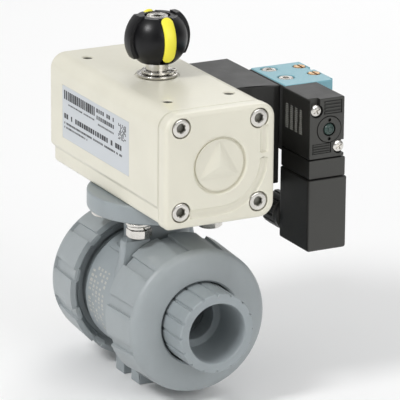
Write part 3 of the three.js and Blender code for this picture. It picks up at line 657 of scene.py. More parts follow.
def shades(tree, value, colour, dark, light):
    """The colour scaled between dark and light by a value"""
    low = [c * dark for c in colour] + [1.0]
    high = [min(c * light, 1.0) for c in colour] + [1.0]
    mix = add_node(tree, "ShaderNodeMix", {"Factor": value}, data_type="RGBA")
    mix.inputs[6].default_value = low
    mix.inputs[7].default_value = high
    return mix.outputs[2]


def bump(tree, height, distance, strength=1.0, below=None):
    inputs = {"Height": height, "Distance": distance, "Strength": strength}
    if below is not None:
        inputs["Normal"] = below
    return add_node(tree, "ShaderNodeBump", inputs).outputs[0]


def join_paint(tree, shader, colour, roughness, normal):
    tree.links.new(colour, shader.inputs["Base Color"])
    tree.links.new(roughness, shader.inputs["Roughness"])
    tree.links.new(normal, shader.inputs["Normal"])


def moulded_plastic(name, colour, rough, grain=2200.0, depth=0.00002, flow=0.05, shine=0.5):
    """Moulded plastic: faint flow marks, cloudy pigment, a fine even grain and a few scuffs"""
    material, tree, shader, place = surface(name, **{"Specular IOR Level": shine})
    cloud = noise(tree, place, 60.0, 4.0)
    marks = noise(tree, stretched(tree, place, (1.0, 1.0, 0.22)), 170.0, 2.0)
    both = calc(tree, "ADD", calc(tree, "MULTIPLY", cloud, 0.7), calc(tree, "MULTIPLY", marks, 0.3))
    paint = shades(tree, ramp(tree, both, 0.3, 0.7), colour, 1.0 - flow, 1.0 + flow)
    fine = noise(tree, place, grain, 2.0, 0.6)
    scuffs = ramp(tree, noise(tree, stretched(tree, place, (1.0, 3.0, 1.0)), 420.0, 5.0, 0.7), 0.62, 0.74)
    gloss = calc(tree, "ADD", ramp(tree, cloud, 0.3, 0.7, rough - 0.05, rough + 0.05),
                 calc(tree, "MULTIPLY", scuffs, 0.06))
    slope = bump(tree, fine, depth, 0.5)
    join_paint(tree, shader, paint, gloss, bump(tree, cloud, 0.00006, 0.25, slope))
    return material


def matt_faced_plastic(name, colour, rough):
    """Black plastic whose faces along X are rougher than its polished sides, and painted paler as painted
    light on those faces
    """
    material, tree, shader, place = surface(name, **{"Specular IOR Level": 0.22})
    facing = add_node(tree, "ShaderNodeSeparateXYZ", {
        0: add_node(tree, "ShaderNodeTexCoord").outputs["Normal"]})
    # mask of the faces along X: rougher there, and painted paler there as painted light
    matt_and_painted_light = ramp(tree, calc(tree, "ABSOLUTE", facing.outputs[0]), 0.55, 0.95)
    cloud = noise(tree, place, 70.0, 4.0)
    fine = noise(tree, place, 2600.0, 2.0, 0.6)
    shade = calc(tree, "ADD", calc(tree, "MULTIPLY", matt_and_painted_light, 0.8), calc(tree, "MULTIPLY", cloud, 0.2))
    # colour raised up to several times on the faces along X: painted light
    paint = shades(tree, shade, colour, 0.7, 4.6)
    gloss = calc(tree, "ADD", ramp(tree, cloud, 0.3, 0.7, rough - 0.05, rough + 0.05),
                 calc(tree, "MULTIPLY", matt_and_painted_light, 0.15))
    join_paint(tree, shader, paint, gloss, bump(tree, fine, 0.00004, 0.5))
    return material


def coated_metal(name, colour, rough, peel=520.0):
    """Thick paint on a casting: soft orange peel under a clear gloss, with a little uneven tone"""
    material, tree, shader, place = surface(name, **{
        "Specular IOR Level": 0.5, "Coat Weight": 0.15, "Coat Roughness": 0.2})
    cloud = noise(tree, place, 38.0, 3.0)
    skin = noise(tree, place, peel, 2.0, 0.45)
    cast = noise(tree, place, 140.0, 3.0)
    paint = shades(tree, ramp(tree, cloud, 0.3, 0.7), colour, 0.975, 1.02)
    gloss = ramp(tree, skin, 0.25, 0.75, rough - 0.04, rough + 0.05)
    slope = bump(tree, skin, 0.00005, 0.35)
    join_paint(tree, shader, paint, gloss, bump(tree, cast, 0.00010, 0.2, slope))
    return material


def worked_metal(name, colour, rough, grain=(1.0, 1.0, 14.0), scratch=0.5):
    """Bright metal with fine tool lines one way, soft handling marks and small pits"""
    material, tree, shader, place = surface(name, **{"Metallic": 1.0, "Anisotropic": 0.35})
    lines = noise(tree, stretched(tree, place, grain), 700.0, 4.0, 0.65)
    cloud = noise(tree, place, 160.0, 3.0)
    pits = add_node(tree, "ShaderNodeTexVoronoi", {"Vector": place, "Scale": 900.0})
    pit = ramp(tree, pits.outputs["Distance"], 0.02, 0.14, 1.0, 0.0)
    paint = shades(tree, ramp(tree, cloud, 0.3, 0.7), colour, 0.88, 1.04)
    gloss = calc(tree, "ADD", ramp(tree, lines, 0.3, 0.7, rough - 0.07, rough + 0.09),
                 calc(tree, "MULTIPLY", pit, 0.08))
    slope = bump(tree, lines, 0.00002, scratch)
    join_paint(tree, shader, paint, gloss, bump(tree, pit, -0.00002, 0.2, slope))
    return material


def soft_rubber(name, colour, rough=0.62, bloom=1.5):
    """Rubber or fibre sheet: a dusty bloom over a close-grained dull surface"""
    material, tree, shader, place = surface(name, **{
        "Specular IOR Level": 0.3, "Sheen Weight": 0.15, "Sheen Roughness": 0.5})
    dust = noise(tree, place, 240.0, 5.0, 0.7)
    fibre = noise(tree, stretched(tree, place, (1.0, 1.0, 4.0)), 1500.0, 3.0)
    paint = shades(tree, ramp(tree, dust, 0.35, 0.75), colour, 0.85, bloom)
    gloss = ramp(tree, dust, 0.3, 0.7, rough, rough + 0.15)
    join_paint(tree, shader, paint, gloss, bump(tree, fibre, 0.00003, 0.5))
    return material


def label_film(name, colour):
    """Silvered film: a brushed shimmer under a satin laminate that ripples slightly"""
    material, tree, shader, place = surface(name, **{
        "Metallic": 0.25, "Coat Weight": 0.3, "Coat Roughness": 0.25})
    lines = noise(tree, stretched(tree, place, (0.06, 1.0, 3.0)), 1600.0, 3.0)
    ripple = noise(tree, place, 90.0, 2.0)
    paint = shades(tree, lines, colour, 0.94, 1.05)
    gloss = ramp(tree, lines, 0.3, 0.7, 0.36, 0.5)
    join_paint(tree, shader, paint, gloss, bump(tree, ripple, 0.00008, 0.3))
    return material


def printed_ink(name, colour):
    """Ink that lies slightly unevenly, with tiny breaks in its colour"""
    material, tree, shader, place = surface(name, **{"Specular IOR Level": 0.4})
    breaks = noise(tree, place, 3200.0, 3.0, 0.7)
    paint = shades(tree, ramp(tree, breaks, 0.55, 0.75), colour, 0.9, 2.2)
    gloss = ramp(tree, breaks, 0.3, 0.7, 0.45, 0.6)
    join_paint(tree, shader, paint, gloss, bump(tree, breaks, 0.00001, 0.4))
    return material


FINISHES = {
    "valve_grey": lambda c: moulded_plastic("valve_grey_plastic", c.valve, 0.42),
    "nut_grey": lambda c: moulded_plastic("nut_grey_plastic", c.nut, 0.40),
    "cream_casing": lambda c: coated_metal("cream_paint", c.cream, 0.34),
    "black_plastic": lambda c: matt_faced_plastic("black_plastic", c.black, 0.4),
    "adapter_grey": lambda c: moulded_plastic("adapter_anodised", c.adapter, 0.5, 3200.0, 0.00003, 0.1),
    "teal_paint": lambda c: coated_metal("teal_paint", c.teal, 0.36, 800.0),
    "yellow_plastic": lambda c: moulded_plastic("yellow_plastic", c.yellow, 0.4, 2400.0, 0.00002, 0.04),
    "steel": lambda c: worked_metal("bright_steel", c.steel, 0.2),
    # dark steel for the linings of sockets and holes: painted shade
    "shade_dark_steel": lambda c: worked_metal("oiled_steel", c.socket, 0.45),
    "brass": lambda c: worked_metal("turned_brass", c.brass, 0.3, (1.0, 9.0, 1.0)),
    "rubber": lambda c: soft_rubber("ring_rubber", c.rubber),
    "seat_white": lambda c: moulded_plastic("seat_polymer", c.seat, 0.35, 1500.0, 0.00001, 0.03),
    "ball_grey": lambda c: moulded_plastic("ball_polymer", c.ball, 0.28, 1600.0, 0.00001, 0.08),
    "aluminium": lambda c: worked_metal("machined_aluminium", c.aluminium, 0.32, (14.0, 1.0, 1.0)),
    "label_paper": lambda c: label_film("label_film", c.paper),
    "gasket_pale": lambda c: soft_rubber("gasket_sheet", c.gasket, 0.7, 1.1),
    "button_green": lambda c: moulded_plastic("button_green_plastic", c.button, 0.3),
    "knob": lambda c: moulded_plastic(
        "indicator_plastic", c.knob, 0.34, 1800.0, 0.00001, 0.15, 0.32),
    "ink": lambda c: printed_ink("label_ink", c.ink),
    "white_ink": lambda c: printed_ink("pale_ink", (0.50, 0.50, 0.46)),
}


def material(key):
    """One of the finishes, made when it is first asked for"""
    store = material.made
    if key not in store:
        store[key] = FINISHES[key](colours())
    return store[key]


material.made = {}


def dress(slot, *nodes):
    """Gives CAD nodes that stay as they are a finish"""
    for node in nodes:
        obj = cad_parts[node]
        obj.data.materials.clear()
        obj.data.materials.append(material(slot))


# ---------------------------------------------------------------- operators

class BallValveOperator:
    """Shared by all the operators: runs build, and lets an error stop the script"""
    bl_options = {"REGISTER", "UNDO"}

    def execute(self, context):
        self.build(sizes())
        return {"FINISHED"}


class BALLVALVE_OT_valve_body(BallValveOperator, bpy.types.Operator):
    """Builds the valve body with its barrel, threads, neck, flange, bosses and feet"""
    bl_idname = "ball_valve.valve_body"
    bl_label = "Valve Body"

    def build(self, size):
        barrel_radius, thread_radius = 28.4, 26.3
        shoulder, end = 15.5, 27.0
        neck, flange, boss, boss_reach = 14.8, 31.5, 6.9, 17.2
        flange_bottom = FLANGE_TOP - 8.4
        boss_top = TOP_Z - 70.0
        foot_x = 12.0
        foot_y = 14.6
        pitch = size.thread_pitch / MM
        depth = size.thread_depth / MM

        def thread(radius, along, angle):
            """Trapezoid thread that fades out at both ends"""
            if radius < thread_radius - 0.05 or abs(along) > end - 0.2:
                return radius, along
            fade = min(1.0, max(0.0, (end - abs(along)) / 1.5), max(0.0, (abs(along) - shoulder) / 1.5))
            return radius - depth * fade * thread_height(along, angle, pitch), along

        steps = 44
        flank = [(thread_radius, shoulder - 0.5 + (end - shoulder) * i / steps) for i in range(steps)]
        profile = [(0.0, -end), (thread_radius - 0.8, -end), (thread_radius, -end + 0.8)]
        profile += [(r, -a) for r, a in reversed(flank[:-2])] + flank[:-2]
        profile += [(thread_radius, end - 0.8), (thread_radius - 0.8, end), (0.0, end)]
        whole = turned(profile, X, (0.0, PIPE_Z), circle_angles(128), thread)
        barrel = eased([(0.0, -shoulder), (barrel_radius, -shoulder), (barrel_radius, shoulder),
                        (0.0, shoulder)], 1.3, 5, closed=False)
        flare = [(0.0, PIPE_Z), (neck + 3.0, PIPE_Z), (neck + 3.0, PIPE_Z + 23.5)]
        flare += [(neck + 3.0 - 3.0 * math.sin(t), PIPE_Z + 24 + 5.0 * (1 - math.cos(t)))
                  for t in (math.radians(15 * i) for i in range(7))]
        flare += [(neck + 2.5 * (1 - math.cos(t)), flange_bottom - 2.5 + 2.5 * math.sin(t))
                  for t in (math.radians(15 * i) for i in range(7))]
        flare += [(neck + 2.5, flange_bottom + 1.0), (0.0, flange_bottom + 1.0)]
        disc = [(0.0, flange_bottom), (flange, flange_bottom), (flange, FLANGE_TOP), (0.0, FLANGE_TOP)]
        joined(whole, turned(barrel, X, (0.0, PIPE_Z), circle_angles(128)),
               turned(flare, Z),
               turned(eased(disc, 1.2, 5, closed=False), Z, angles=circle_angles(128)))
        joined(whole, block((-foot_x, foot_x), (-foot_y, foot_y), (0.0, 14.0), 0.7))
        for side in (-1, 1):
            over = sorted((side * boss_reach, side * 40.0))
            joined(whole, cut(self.boss(side, boss, boss_top), block(over, (-40, 40), (0, 100))))
        foot_slot = 3.7
        web = 5.0
        for near, far in ((web, foot_y + 1), (-foot_y - 1, -web)):
            cut(whole, block((-foot_slot, foot_slot), (near, far), (-1.0, 6.9)))
        soften(whole, 0.45)
        chamber = BALL_RADIUS + 0.4
        groove = ring(20.8, 23.8, end - 2.3, end + 1.0, 0.1)
        cut(whole,
            rod(10.2, -end - 1, 0.0, X, (0.0, PIPE_Z)),
            rod(15.1, -16.5, 0.0, X, (0.0, PIPE_Z)),
            rod(chamber, -8.0, 9.4, X, (0.0, PIPE_Z)),
            rod(19.3, 9.3, end + 1, X, (0.0, PIPE_Z), count=96),
            turned(groove, X, (0.0, PIPE_Z)),
            turned([(r, -a) for r, a in groove], X, (0.0, PIPE_Z)),
            rod(7.7, PIPE_Z, FLANGE_TOP + 1, Z),
            rod(9.5, PIPE_Z, PIPE_Z + 20.8, Z))
        for i, j in CORNERS:
            cut(whole, rod(3.3, flange_bottom - 1, FLANGE_TOP + 1, Z,
                           (i * BOLT_REACH, j * BOLT_REACH), count=32))
        finished(whole, "valve_body_moulding", material("valve_grey"), "housing", "valve_grey",
                 "valve_body")
        self.barrel_print(barrel_radius)

    def boss(self, side, radius, top):
        """Bolt boss under one of two opposite bolts, upright outside and widening down to the barrel"""
        middle_x = side * 14.6
        # down from the top, reach along, reach across, outermost y
        levels = ((0.0, radius - 0.8, radius - 0.8, 23.8), (0.3, radius - 0.25, radius - 0.25, 24.35),
                  (1.0, radius, radius, 24.6), (5.0, 7.1, 7.1, 24.8), (9.0, 8.6, 8.0, 25.2),
                  (13.0, 11.6, 10.0, 25.8), (17.0, 15.0, 13.0, 26.3), (21.0, 17.0, 16.0, 26.6),
                  (25.0, 18.0, 18.0, 27.3))
        points, loops = [], []
        for down, along, across, outer in levels:
            middle_y = outer - across
            loops.append(range(len(points), len(points) + 64))
            points += [(middle_x + along * math.cos(t), -side * middle_y + across * math.sin(t),
                        top - down) for t in circle_angles(64)]
        return shape("boss", points, loop_faces(loops))

    def barrel_print(self, radius):
        """Rows of pale generic bars printed round the side of the barrel"""
        points, faces = [], []
        # along the barrel, height, bars
        rows = ((-12.2, 2.4, 11), (-8.4, 1.5, 13), (-5.2, 1.5, 12), (-2.0, 1.5, 14), (1.4, 1.5, 10))
        first_angle, angle_step = 150, 60.0 / 14
        for row, (x, tall, count) in enumerate(rows):
            for i in range(count):
                if (i * 7 + row * 5) % 6 == 0:
                    continue
                start = math.radians(first_angle + angle_step * i)
                wide = math.radians(1.5 + (i * 5 + row * 3) % 4 * 0.45)
                first = len(points)
                for along in (x, x + tall):
                    for turn in (start, start + wide):
                        for reach in (radius - INK_THICKNESS / 2, radius + INK_THICKNESS / 2):
                            points.append((along, reach * math.cos(turn),
                                           PIPE_Z + reach * math.sin(turn)))
                faces += [[first + k for k in face] for face in
                          ((0, 1, 3, 2), (4, 5, 7, 6), (0, 1, 5, 4), (2, 3, 7, 6),
                           (0, 2, 6, 4), (1, 3, 7, 5))]
        finished(shape("barrel_print", points, faces), "barrel_print", material("white_ink"),
                 "housing", "valve_grey")


class BALLVALVE_OT_ball_and_seats(BallValveOperator, bpy.types.Operator):
    """Builds the ball, the seat rings and the face rings, and gives the seat carrier, the stem and its
    ring their finish
    """
    bl_idname = "ball_valve.ball_and_seats"
    bl_label = "Ball and Seats"

    def build(self, size):
        bore = 10.0
        edge = math.degrees(math.asin(bore / BALL_RADIUS))
        face = [(r, a) for a, r in arc(0.0, 0.0, BALL_RADIUS, edge, 180 - edge, 28)]
        sphere = turned(eased(face, 0.5, 3), X, (0.0, PIPE_Z))
        cut(sphere, block((-6.0, 6.0), (-3.0, 3.0), (PIPE_Z + 11.9, PIPE_Z + 20.0), 0.0))
        finished(sphere, "ball_polished", material("ball_grey"), "drive_train", "ball_grey", "ball")
        clear = BALL_RADIUS + 0.3
        inner, outer, back = bore + 0.4, 14.8, 16.2
        radii = [inner + (outer - inner) * i / 8 for i in range(9)]
        seat = [(inner, back)] + [(r, math.sqrt(clear ** 2 - r ** 2)) for r in radii] + [(outer, back)]
        for end, side in (("front", 1), ("rear", -1)):
            profile = [(r, side * a) for r, a in seat]
            finished(turned(profile, X, (0.0, PIPE_Z)), "seat_ring_turned_" + end,
                     material("seat_white"), "housing", "seat_white", "seat_ring_" + end)
            lo, hi = span("face_o_ring_" + end, X)
            section = arc(22.3, (lo + hi) / 2, (hi - lo) / 2, 0, 345, 23)
            finished(turned(section, X, (0.0, PIPE_Z)), "face_seal_" + end,
                     material("rubber"), "housing", "rubber", "face_o_ring_" + end)
        dress("valve_grey", "seat_carrier", "stem")
        dress("rubber", "stem_o_ring")


class BALLVALVE_OT_end_connectors(BallValveOperator, bpy.types.Operator):
    """Builds the two end connectors with their ribbed hubs and pipe sockets"""
    bl_idname = "ball_valve.end_connectors"
    bl_label = "End Connectors"

    def build(self, size):
        hub, socket, stop, port = 18.2, 13.35, 37.0, 10.0
        flange_x, flange_end, flange = 27.3, 31.5, 25.9
        tree = groove_tree()
        groove = size.hub_groove / MM
        soft = 0.22
        angles = pad_angles(size.hub_ribs, groove / hub, soft / hub, 0.0)
        front = [(socket + 0.7, HUB_END), (hub - 0.5, HUB_END), (hub, HUB_END - 0.5)]
        steps = 10
        wall = [(hub, HUB_END - 1.4 - (HUB_END - 1.4 - flange_end - 0.2) * i / steps)
                for i in range(steps + 1)]
        back = [(hub, flange_end), (flange - 0.4, flange_end), (flange, flange_end - 0.4),
                (flange, flange_x + 0.4), (flange - 0.4, flange_x), (port + 0.5, flange_x),
                (port, flange_x + 0.5), (port, stop - 0.3), (port + 0.3, stop),
                (socket - 0.3, stop), (socket, stop + 0.3), (socket, HUB_END - 1.2)]
        for end, side in (("front", 1), ("rear", -1)):
            whole = turned(front + wall + back, X, (0.0, PIPE_Z), angles)
            use_tree(whole, tree, count=size.hub_ribs, width=groove,
                     depth=size.hub_groove_depth / MM, phase=0.0, softness=soft,
                     from_x=flange_end, to_x=HUB_END + 2.0, beyond_radius=hub - 0.7,
                     axis_y=0.0, axis_z=PIPE_Z, material=material("valve_grey"))
            if side < 0:
                other_side(whole)
            finished(whole, "pipe_socket_" + end, material("valve_grey"), end + "_connector",
                     "valve_grey", "end_connector_" + end)


class BALLVALVE_OT_union_nuts(BallValveOperator, bpy.types.Operator):
    """Builds the two union nuts with their grip pads, threads and mouth slots"""
    bl_idname = "ball_valve.union_nuts"
    bl_label = "Union Nuts"

    def build(self, size):
        hole, shelf, mouth_slots = 19.0, 31.9, 6
        bore = 26.8
        pitch = size.thread_pitch / MM
        depth = size.thread_depth / MM * 0.6
        groove = size.nut_groove / MM
        soft = 0.1
        phase = math.radians(90 + 10.2)
        mouth_phase = 14.0
        tree = groove_tree()
        angles = pad_angles(size.nut_pads, groove / NUT_RADIUS, soft / NUT_RADIUS, phase, 10)
        shoulder = [(r, a) for a, r in arc(38.9, NUT_RADIUS - 4.7, 3.5, 90, 12, 8)]
        grip_end = 38.9
        steps = 14
        start = NUT_INNER + 0.6
        grip = [(NUT_RADIUS + (shoulder[0][0] - NUT_RADIUS) * i / steps,
                 start + (grip_end - start) * i / steps) for i in range(steps)]
        face = [(29.0, NUT_FACE - 0.9), (24.0, NUT_FACE - 0.35), (hole + 0.8, NUT_FACE),
                (hole, NUT_FACE - 0.8)]
        inside = [(hole, shelf + 0.3), (hole + 0.3, shelf), (bore - 0.2, shelf)]
        thread_from, thread_to, count = 31.4, 22.2, 40
        inside += [(bore, thread_from - (thread_from - thread_to) * i / count) for i in range(count + 1)]
        inside += [(bore, 21.7), (29.3, 21.5), (31.8, NUT_INNER + 0.15), (32.1, NUT_INNER),
                   (32.5, NUT_INNER)]

        def thread(radius, along, angle):
            """Inner thread ridges that stand a little into the bore"""
            if abs(radius - bore) > 0.01 or not thread_to <= along <= thread_from:
                return radius, along
            return radius + depth * thread_height(along, angle, pitch), along

        for end, side in (("front", 1), ("rear", -1)):
            whole = turned(grip + shoulder + face + inside, X, (0.0, PIPE_Z), angles, thread)
            use_tree(whole, tree, count=size.nut_pads, width=groove,
                     depth=size.nut_groove_depth / MM, phase=phase, softness=soft,
                     from_x=NUT_INNER - 2.0, to_x=grip_end + 0.4, beyond_radius=NUT_RADIUS - 2.2,
                     axis_y=0.0, axis_z=PIPE_Z, material=material("nut_grey"))
            for i in range(mouth_slots):
                slot = block((NUT_INNER - 1.0, NUT_INNER + 3.0), (-2.4, 2.4),
                             (PIPE_Z + 29.5, PIPE_Z + 30.9))
                turned_about(slot, X, 360 / mouth_slots * i + mouth_phase, (0.0, 0.0, PIPE_Z))
                cut(whole, slot)
            if side < 0:
                other_side(whole)
            finished(whole, "union_nut_moulding_" + end, material("nut_grey"), end + "_nut",
                     "nut_grey", "union_nut_" + end, smooth=28.0)


class BALLVALVE_OT_flange_bolts(BallValveOperator, bpy.types.Operator):
    """Builds the four bolts under the mounting flange with their flat and spring washers"""
    bl_idname = "ball_valve.flange_bolts"
    bl_label = "Flange Bolts"

    def build(self, size):
        tree = pattern_tree()
        head_lo = span("flange_bolt_1", Z)[0]
        head_hi = head_lo + 4.0
        head = prism(drawn_in(hexagon(10.0)), Z, head_lo, head_hi)
        cone = [(0.0, head_lo), (4.75, head_lo), (5.9, head_lo + 0.66), (5.9, head_hi), (0.0, head_hi)]
        shared(head, turned(cone, Z, angles=circle_angles(96)))
        dish = turned([(0.0, head_lo - 0.1), (3.7, head_lo - 0.1), (3.4, head_lo + 0.35),
                       (0.0, head_lo + 0.35)], Z)
        soften(head, 0.18)
        cut(head, dish)
        top = span("flange_bolt_1", Z)[1]
        pitch, shank_radius = 1.0, 2.9

        def thread(radius, along, angle):
            """Fine V thread down to the bevel at the end of the shank"""
            if radius < shank_radius - 0.1 or along > top - 0.5:
                return radius, along
            return radius - 0.45 * (thread_place(along, angle, pitch) * 2.0), along

        count = int((top - head_hi) / pitch * 6)
        shank = [(0.0, head_hi - 0.5)]
        shank += [(shank_radius, head_hi - 0.5 + (top - 0.6 - head_hi + 0.5) * i / count)
                  for i in range(count + 1)]
        shank += [(shank_radius - 0.6, top), (0.0, top)]
        joined(head, turned(shank, Z, angles=circle_angles(32), rule=thread))
        rows = (
            ("flange_bolts", head, "flange_bolt_{}"),
            ("flat_washers", turned(ring(3.2, 6.0, *span("flat_washer_1", Z), 0.25), Z), "flat_washer_{}"),
            ("spring_washers", self.spring_washer(), "spring_washer_{}"),
        )
        for name, piece, node in rows:
            finished(on_corners(piece, tree, (2 * BOLT_REACH,) * 2, material("steel")), name,
                     material("steel"), "housing", "steel", *[node.format(i) for i in range(1, 5)])

    def spring_washer(self):
        """Square-section washer with one slanted gap"""
        low, high = span("spring_washer_1", Z)
        washer = turned(ring(3.2, 5.3, low, high, 0.2), Z)
        gap = block((2.0, 7.0), (-0.35, 0.35), (low - 1, high + 1))
        turned_about(gap, X, 24.0, (0.0, 0.0, (low + high) / 2))
        return cut(washer, gap)


class BALLVALVE_OT_casing(BallValveOperator, bpy.types.Operator):
    """Builds the painted actuator casing with its ledge, holes and label pocket"""
    bl_idname = "ball_valve.casing"
    bl_label = "Actuator Casing"

    def build(self, size):
        ledge = TOP_Z - 43.5
        strip = CASING_HALF - 2.0
        top_corner, foot_corner, ledge_soft = 7.5, 2.0, 1.0

        def section(inset=0.0):
            foot = max(foot_corner - inset, 0.05)
            top = max(top_corner - inset, 0.05)
            wide = CASING_HALF - inset
            narrow = strip - inset
            low = BOTTOM_Z + inset
            high = TOP_Z - inset
            right = (arc(narrow - foot, low + foot, foot, 270, 360, 5)
                     + eased([(narrow, ledge - 4), (narrow, ledge - ledge_soft),
                              (wide, ledge + ledge_soft), (wide, ledge + 4)], 0.8, 3, closed=False)
                     + arc(wide - top, high - top, top, 0, 90, 12))
            return right + [(-u, v) for u, v in reversed(right)]

        whole = prism(section, X, CASING_REAR, CASING_FRONT, size.casing_edge / MM, 0.3, 7)
        low_z, high_z = span("label", Z)
        low_x, high_x = span("label", X)
        floor = span("label", Y)[1] + 0.3
        pocket = block((low_x - 0.06, high_x + 0.06), (-30.0, floor), (low_z - 0.06, high_z + 0.06))
        cut(whole, pocket,
            rod(20.0, CASING_REAR + 4, CASING_FRONT + 1, X, (0.0, CYLINDER_Z), count=96),
            rod(9.6, BOTTOM_Z - 1, CYLINDER_Z, Z),
            rod(7.1, CYLINDER_Z, TOP_Z + 1, Z))
        for x in (-12.0, 12.0):
            cut(whole, rod(3.5, 15.0, CASING_HALF + 1, Y, (x, PORT_Z), count=40))
        mouth = [(0.0, TOP_Z - 8), (2.3, TOP_Z - 8), (2.3, TOP_Z - 0.5), (2.85, TOP_Z + 0.1),
                 (2.85, TOP_Z + 1), (0.0, TOP_Z + 1)]
        for i, j in CORNERS:
            cut(whole, turned(mouth, Z, (i * ACCESSORY_X, j * ACCESSORY_Y), circle_angles(40)),
                rod(2.7, 38.0, CASING_FRONT + 1, X, (i * CAP_REACH, CYLINDER_Z + j * CAP_REACH),
                    count=32),
                rod(3.2, BOTTOM_Z - 1, BOTTOM_Z + 12, Z, (i * BOLT_REACH, j * BOLT_REACH), count=32))
        seat = eased([(7.0, TOP_Z - 0.35), (9.9, TOP_Z - 0.35), (10.4, TOP_Z + 1.0), (7.0, TOP_Z + 1.0)],
                     0.1, 2)
        cut(whole, turned(seat, Z))
        finished(whole, "casing_painted", material("cream_casing"), "housing", "cream_casing",
                 "actuator_body")
        # threaded inserts in the accessory holes; their dark colour is painted shade inside the holes
        insert = turned([(2.28, TOP_Z - 7.9), (2.28, TOP_Z - 0.6), (2.05, TOP_Z - 0.6),
                         (1.85, TOP_Z - 0.9), (1.85, TOP_Z - 7.4), (0.0, TOP_Z - 7.4),
                         (0.0, TOP_Z - 7.9)][::-1], Z, angles=circle_angles(40))
        inserts = on_corners(insert, pattern_tree(), (2 * ACCESSORY_X, 2 * ACCESSORY_Y),
                             material("shade_dark_steel"))
        finished(inserts, "threaded_inserts", material("shade_dark_steel"), "housing", "steel")
        gasket = prism(self.cap_outline(0.15), X, *span("end_cap_gasket", X))
        cut(gasket, rod(20.0, 50.0, 60.0, X, (0.0, CYLINDER_Z)))
        for i, j in CORNERS:
            cut(gasket, rod(2.8, 50.0, 60.0, X, (i * CAP_REACH, CYLINDER_Z + j * CAP_REACH), count=32))
        finished(gasket, "end_cap_seal", material("cream_casing"), "housing", "gasket_pale",
                 "end_cap_gasket")

    @staticmethod
    def cap_outline(drawn=0.0):
        outline = rounded_rectangle(-CASING_HALF, CASING_HALF, BOTTOM_Z, TOP_Z, (3.0, 7.0, 6.5, 7.5))
        return lambda inset=0.0: outline(inset + drawn)


class BALLVALVE_OT_end_cap(BallValveOperator, bpy.types.Operator):
    """Builds the end cap with its round relief, curved groove and counterbores, and its four screws"""
    bl_idname = "ball_valve.end_cap"
    bl_label = "End Cap"

    def build(self, size):
        relief, facets, rise, wall = 12.8, 3, 2.1, 0.8
        bore_radius, floor = 4.6, CAP_FRONT - 5.2
        whole = prism(BALLVALVE_OT_casing.cap_outline(), X, CAP_BACK, CAP_FRONT, 0.3,
                      size.cap_edge / MM, 6)
        joined(whole, rod(19.6, 51.5, CAP_BACK + 0.1, X, (0.0, CYLINDER_Z), 0.4, 96))
        deep = CAP_FRONT - 2.0
        dish = [(0.0, deep), (relief - 0.4, deep), (relief - 0.1, deep + 0.3),
                (relief + 0.1, CAP_FRONT - 0.5), (relief + 0.6, CAP_FRONT - 0.12),
                (relief + 2.2, CAP_FRONT + 0.02), (relief + 2.2, CAP_FRONT + 1.0),
                (0.0, CAP_FRONT + 1.0)]
        cut(whole, turned(dish, X, (0.0, CYLINDER_Z), circle_angles(128)))
        half_step = math.pi / facets

        def facet(radius, along, angle):
            """Shallow dome with three flats and a plain rim, its ridges at the top and lower sides"""
            if along < deep - 0.5:
                return radius, along
            turn = (angle - math.pi / 2) % (2 * half_step) - half_step
            flat = radius * math.cos(turn) / math.cos(half_step)
            slope = max(0.0, 1.0 - flat / (relief - 1.2))
            return radius, deep + wall + (rise - wall) * slope * (2.0 - slope)

        dome = [(0.0, deep - 1.0), (relief - 1.2, deep - 1.0)]
        dome += [((relief - 1.2) * (1 - i / 28), deep) for i in range(28)]
        dome += [(0.0, deep)]
        joined(whole, turned(dome, X, (0.0, CYLINDER_Z), circle_angles(96, math.pi / 2), facet))
        groove, bend, middle_y, middle_z = 2.4, 20.9, 0.4, CYLINDER_Z + 0.5
        path = [(middle_y + bend, middle_z + 15.0 - i * 3.0) for i in range(5)]
        path += arc(middle_y, middle_z, bend, 0, -90, 32)
        path += [(middle_y - 3.0 * i, middle_z - bend) for i in range(1, 6)]
        cut(whole, tube([(CAP_FRONT + groove / 2, u, v) for u, v in path], groove, 32))
        mouth = [(0.0, floor), (bore_radius, floor), (bore_radius, CAP_FRONT - 0.2),
                 (bore_radius + 0.3, CAP_FRONT + 0.1), (bore_radius + 0.3, CAP_FRONT + 1),
                 (0.0, CAP_FRONT + 1)]
        for i, j in CORNERS:
            at = (i * CAP_REACH, CYLINDER_Z + j * CAP_REACH)
            cut(whole, turned(mouth, X, at, circle_angles(64)),
                rod(2.7, CAP_BACK - 1, floor + 1, X, at, count=32))
        finished(whole, "end_cap_painted", material("cream_casing"), "housing", "cream_casing",
                 "end_cap", smooth=26.0)
        self.screws()

    def screws(self):
        """Socket-head screws, made along Z and turned by the pattern to lie along X"""
        low, high = span("end_cap_screw_1", X)
        head = high - 4.6
        profile = [(0.0, low), (2.1, low), (2.4, low + 0.4), (2.4, head), (4.05, head),
                   (4.25, head + 0.2), (4.25, high - 0.55), (4.0, high - 0.15), (3.7, high), (0.0, high)]
        screw = turned(profile, Z)
        cut(screw, prism(drawn_in(hexagon(4.0)), Z, high - 2.4, high + 1.0),
            turned([(0.0, high - 0.35), (2.0, high - 0.35), (2.45, high + 0.1), (0.0, high + 0.1)], Z))
        # a dark liner in each hexagon socket, as painted shade
        liner = prism(drawn_in(hexagon(3.96)), Z, high - 2.38, high - 0.45)
        cut(liner, prism(drawn_in(hexagon(3.5)), Z, high - 2.1, high))
        heads = ["end_cap_screw_%d" % i for i in range(1, 5)]
        tree = pattern_tree()
        for name, piece, finish, nodes in (("end_cap_screws", screw, "steel", heads),
                                           ("end_cap_screw_sockets", liner, "shade_dark_steel", ())):
            copies = on_corners(piece, tree, (2 * CAP_REACH,) * 2, material(finish),
                                (0.0, 0.0, CYLINDER_Z), (0.0, math.pi / 2, 0.0))
            finished(copies, name, material(finish), "housing", "steel", *nodes)


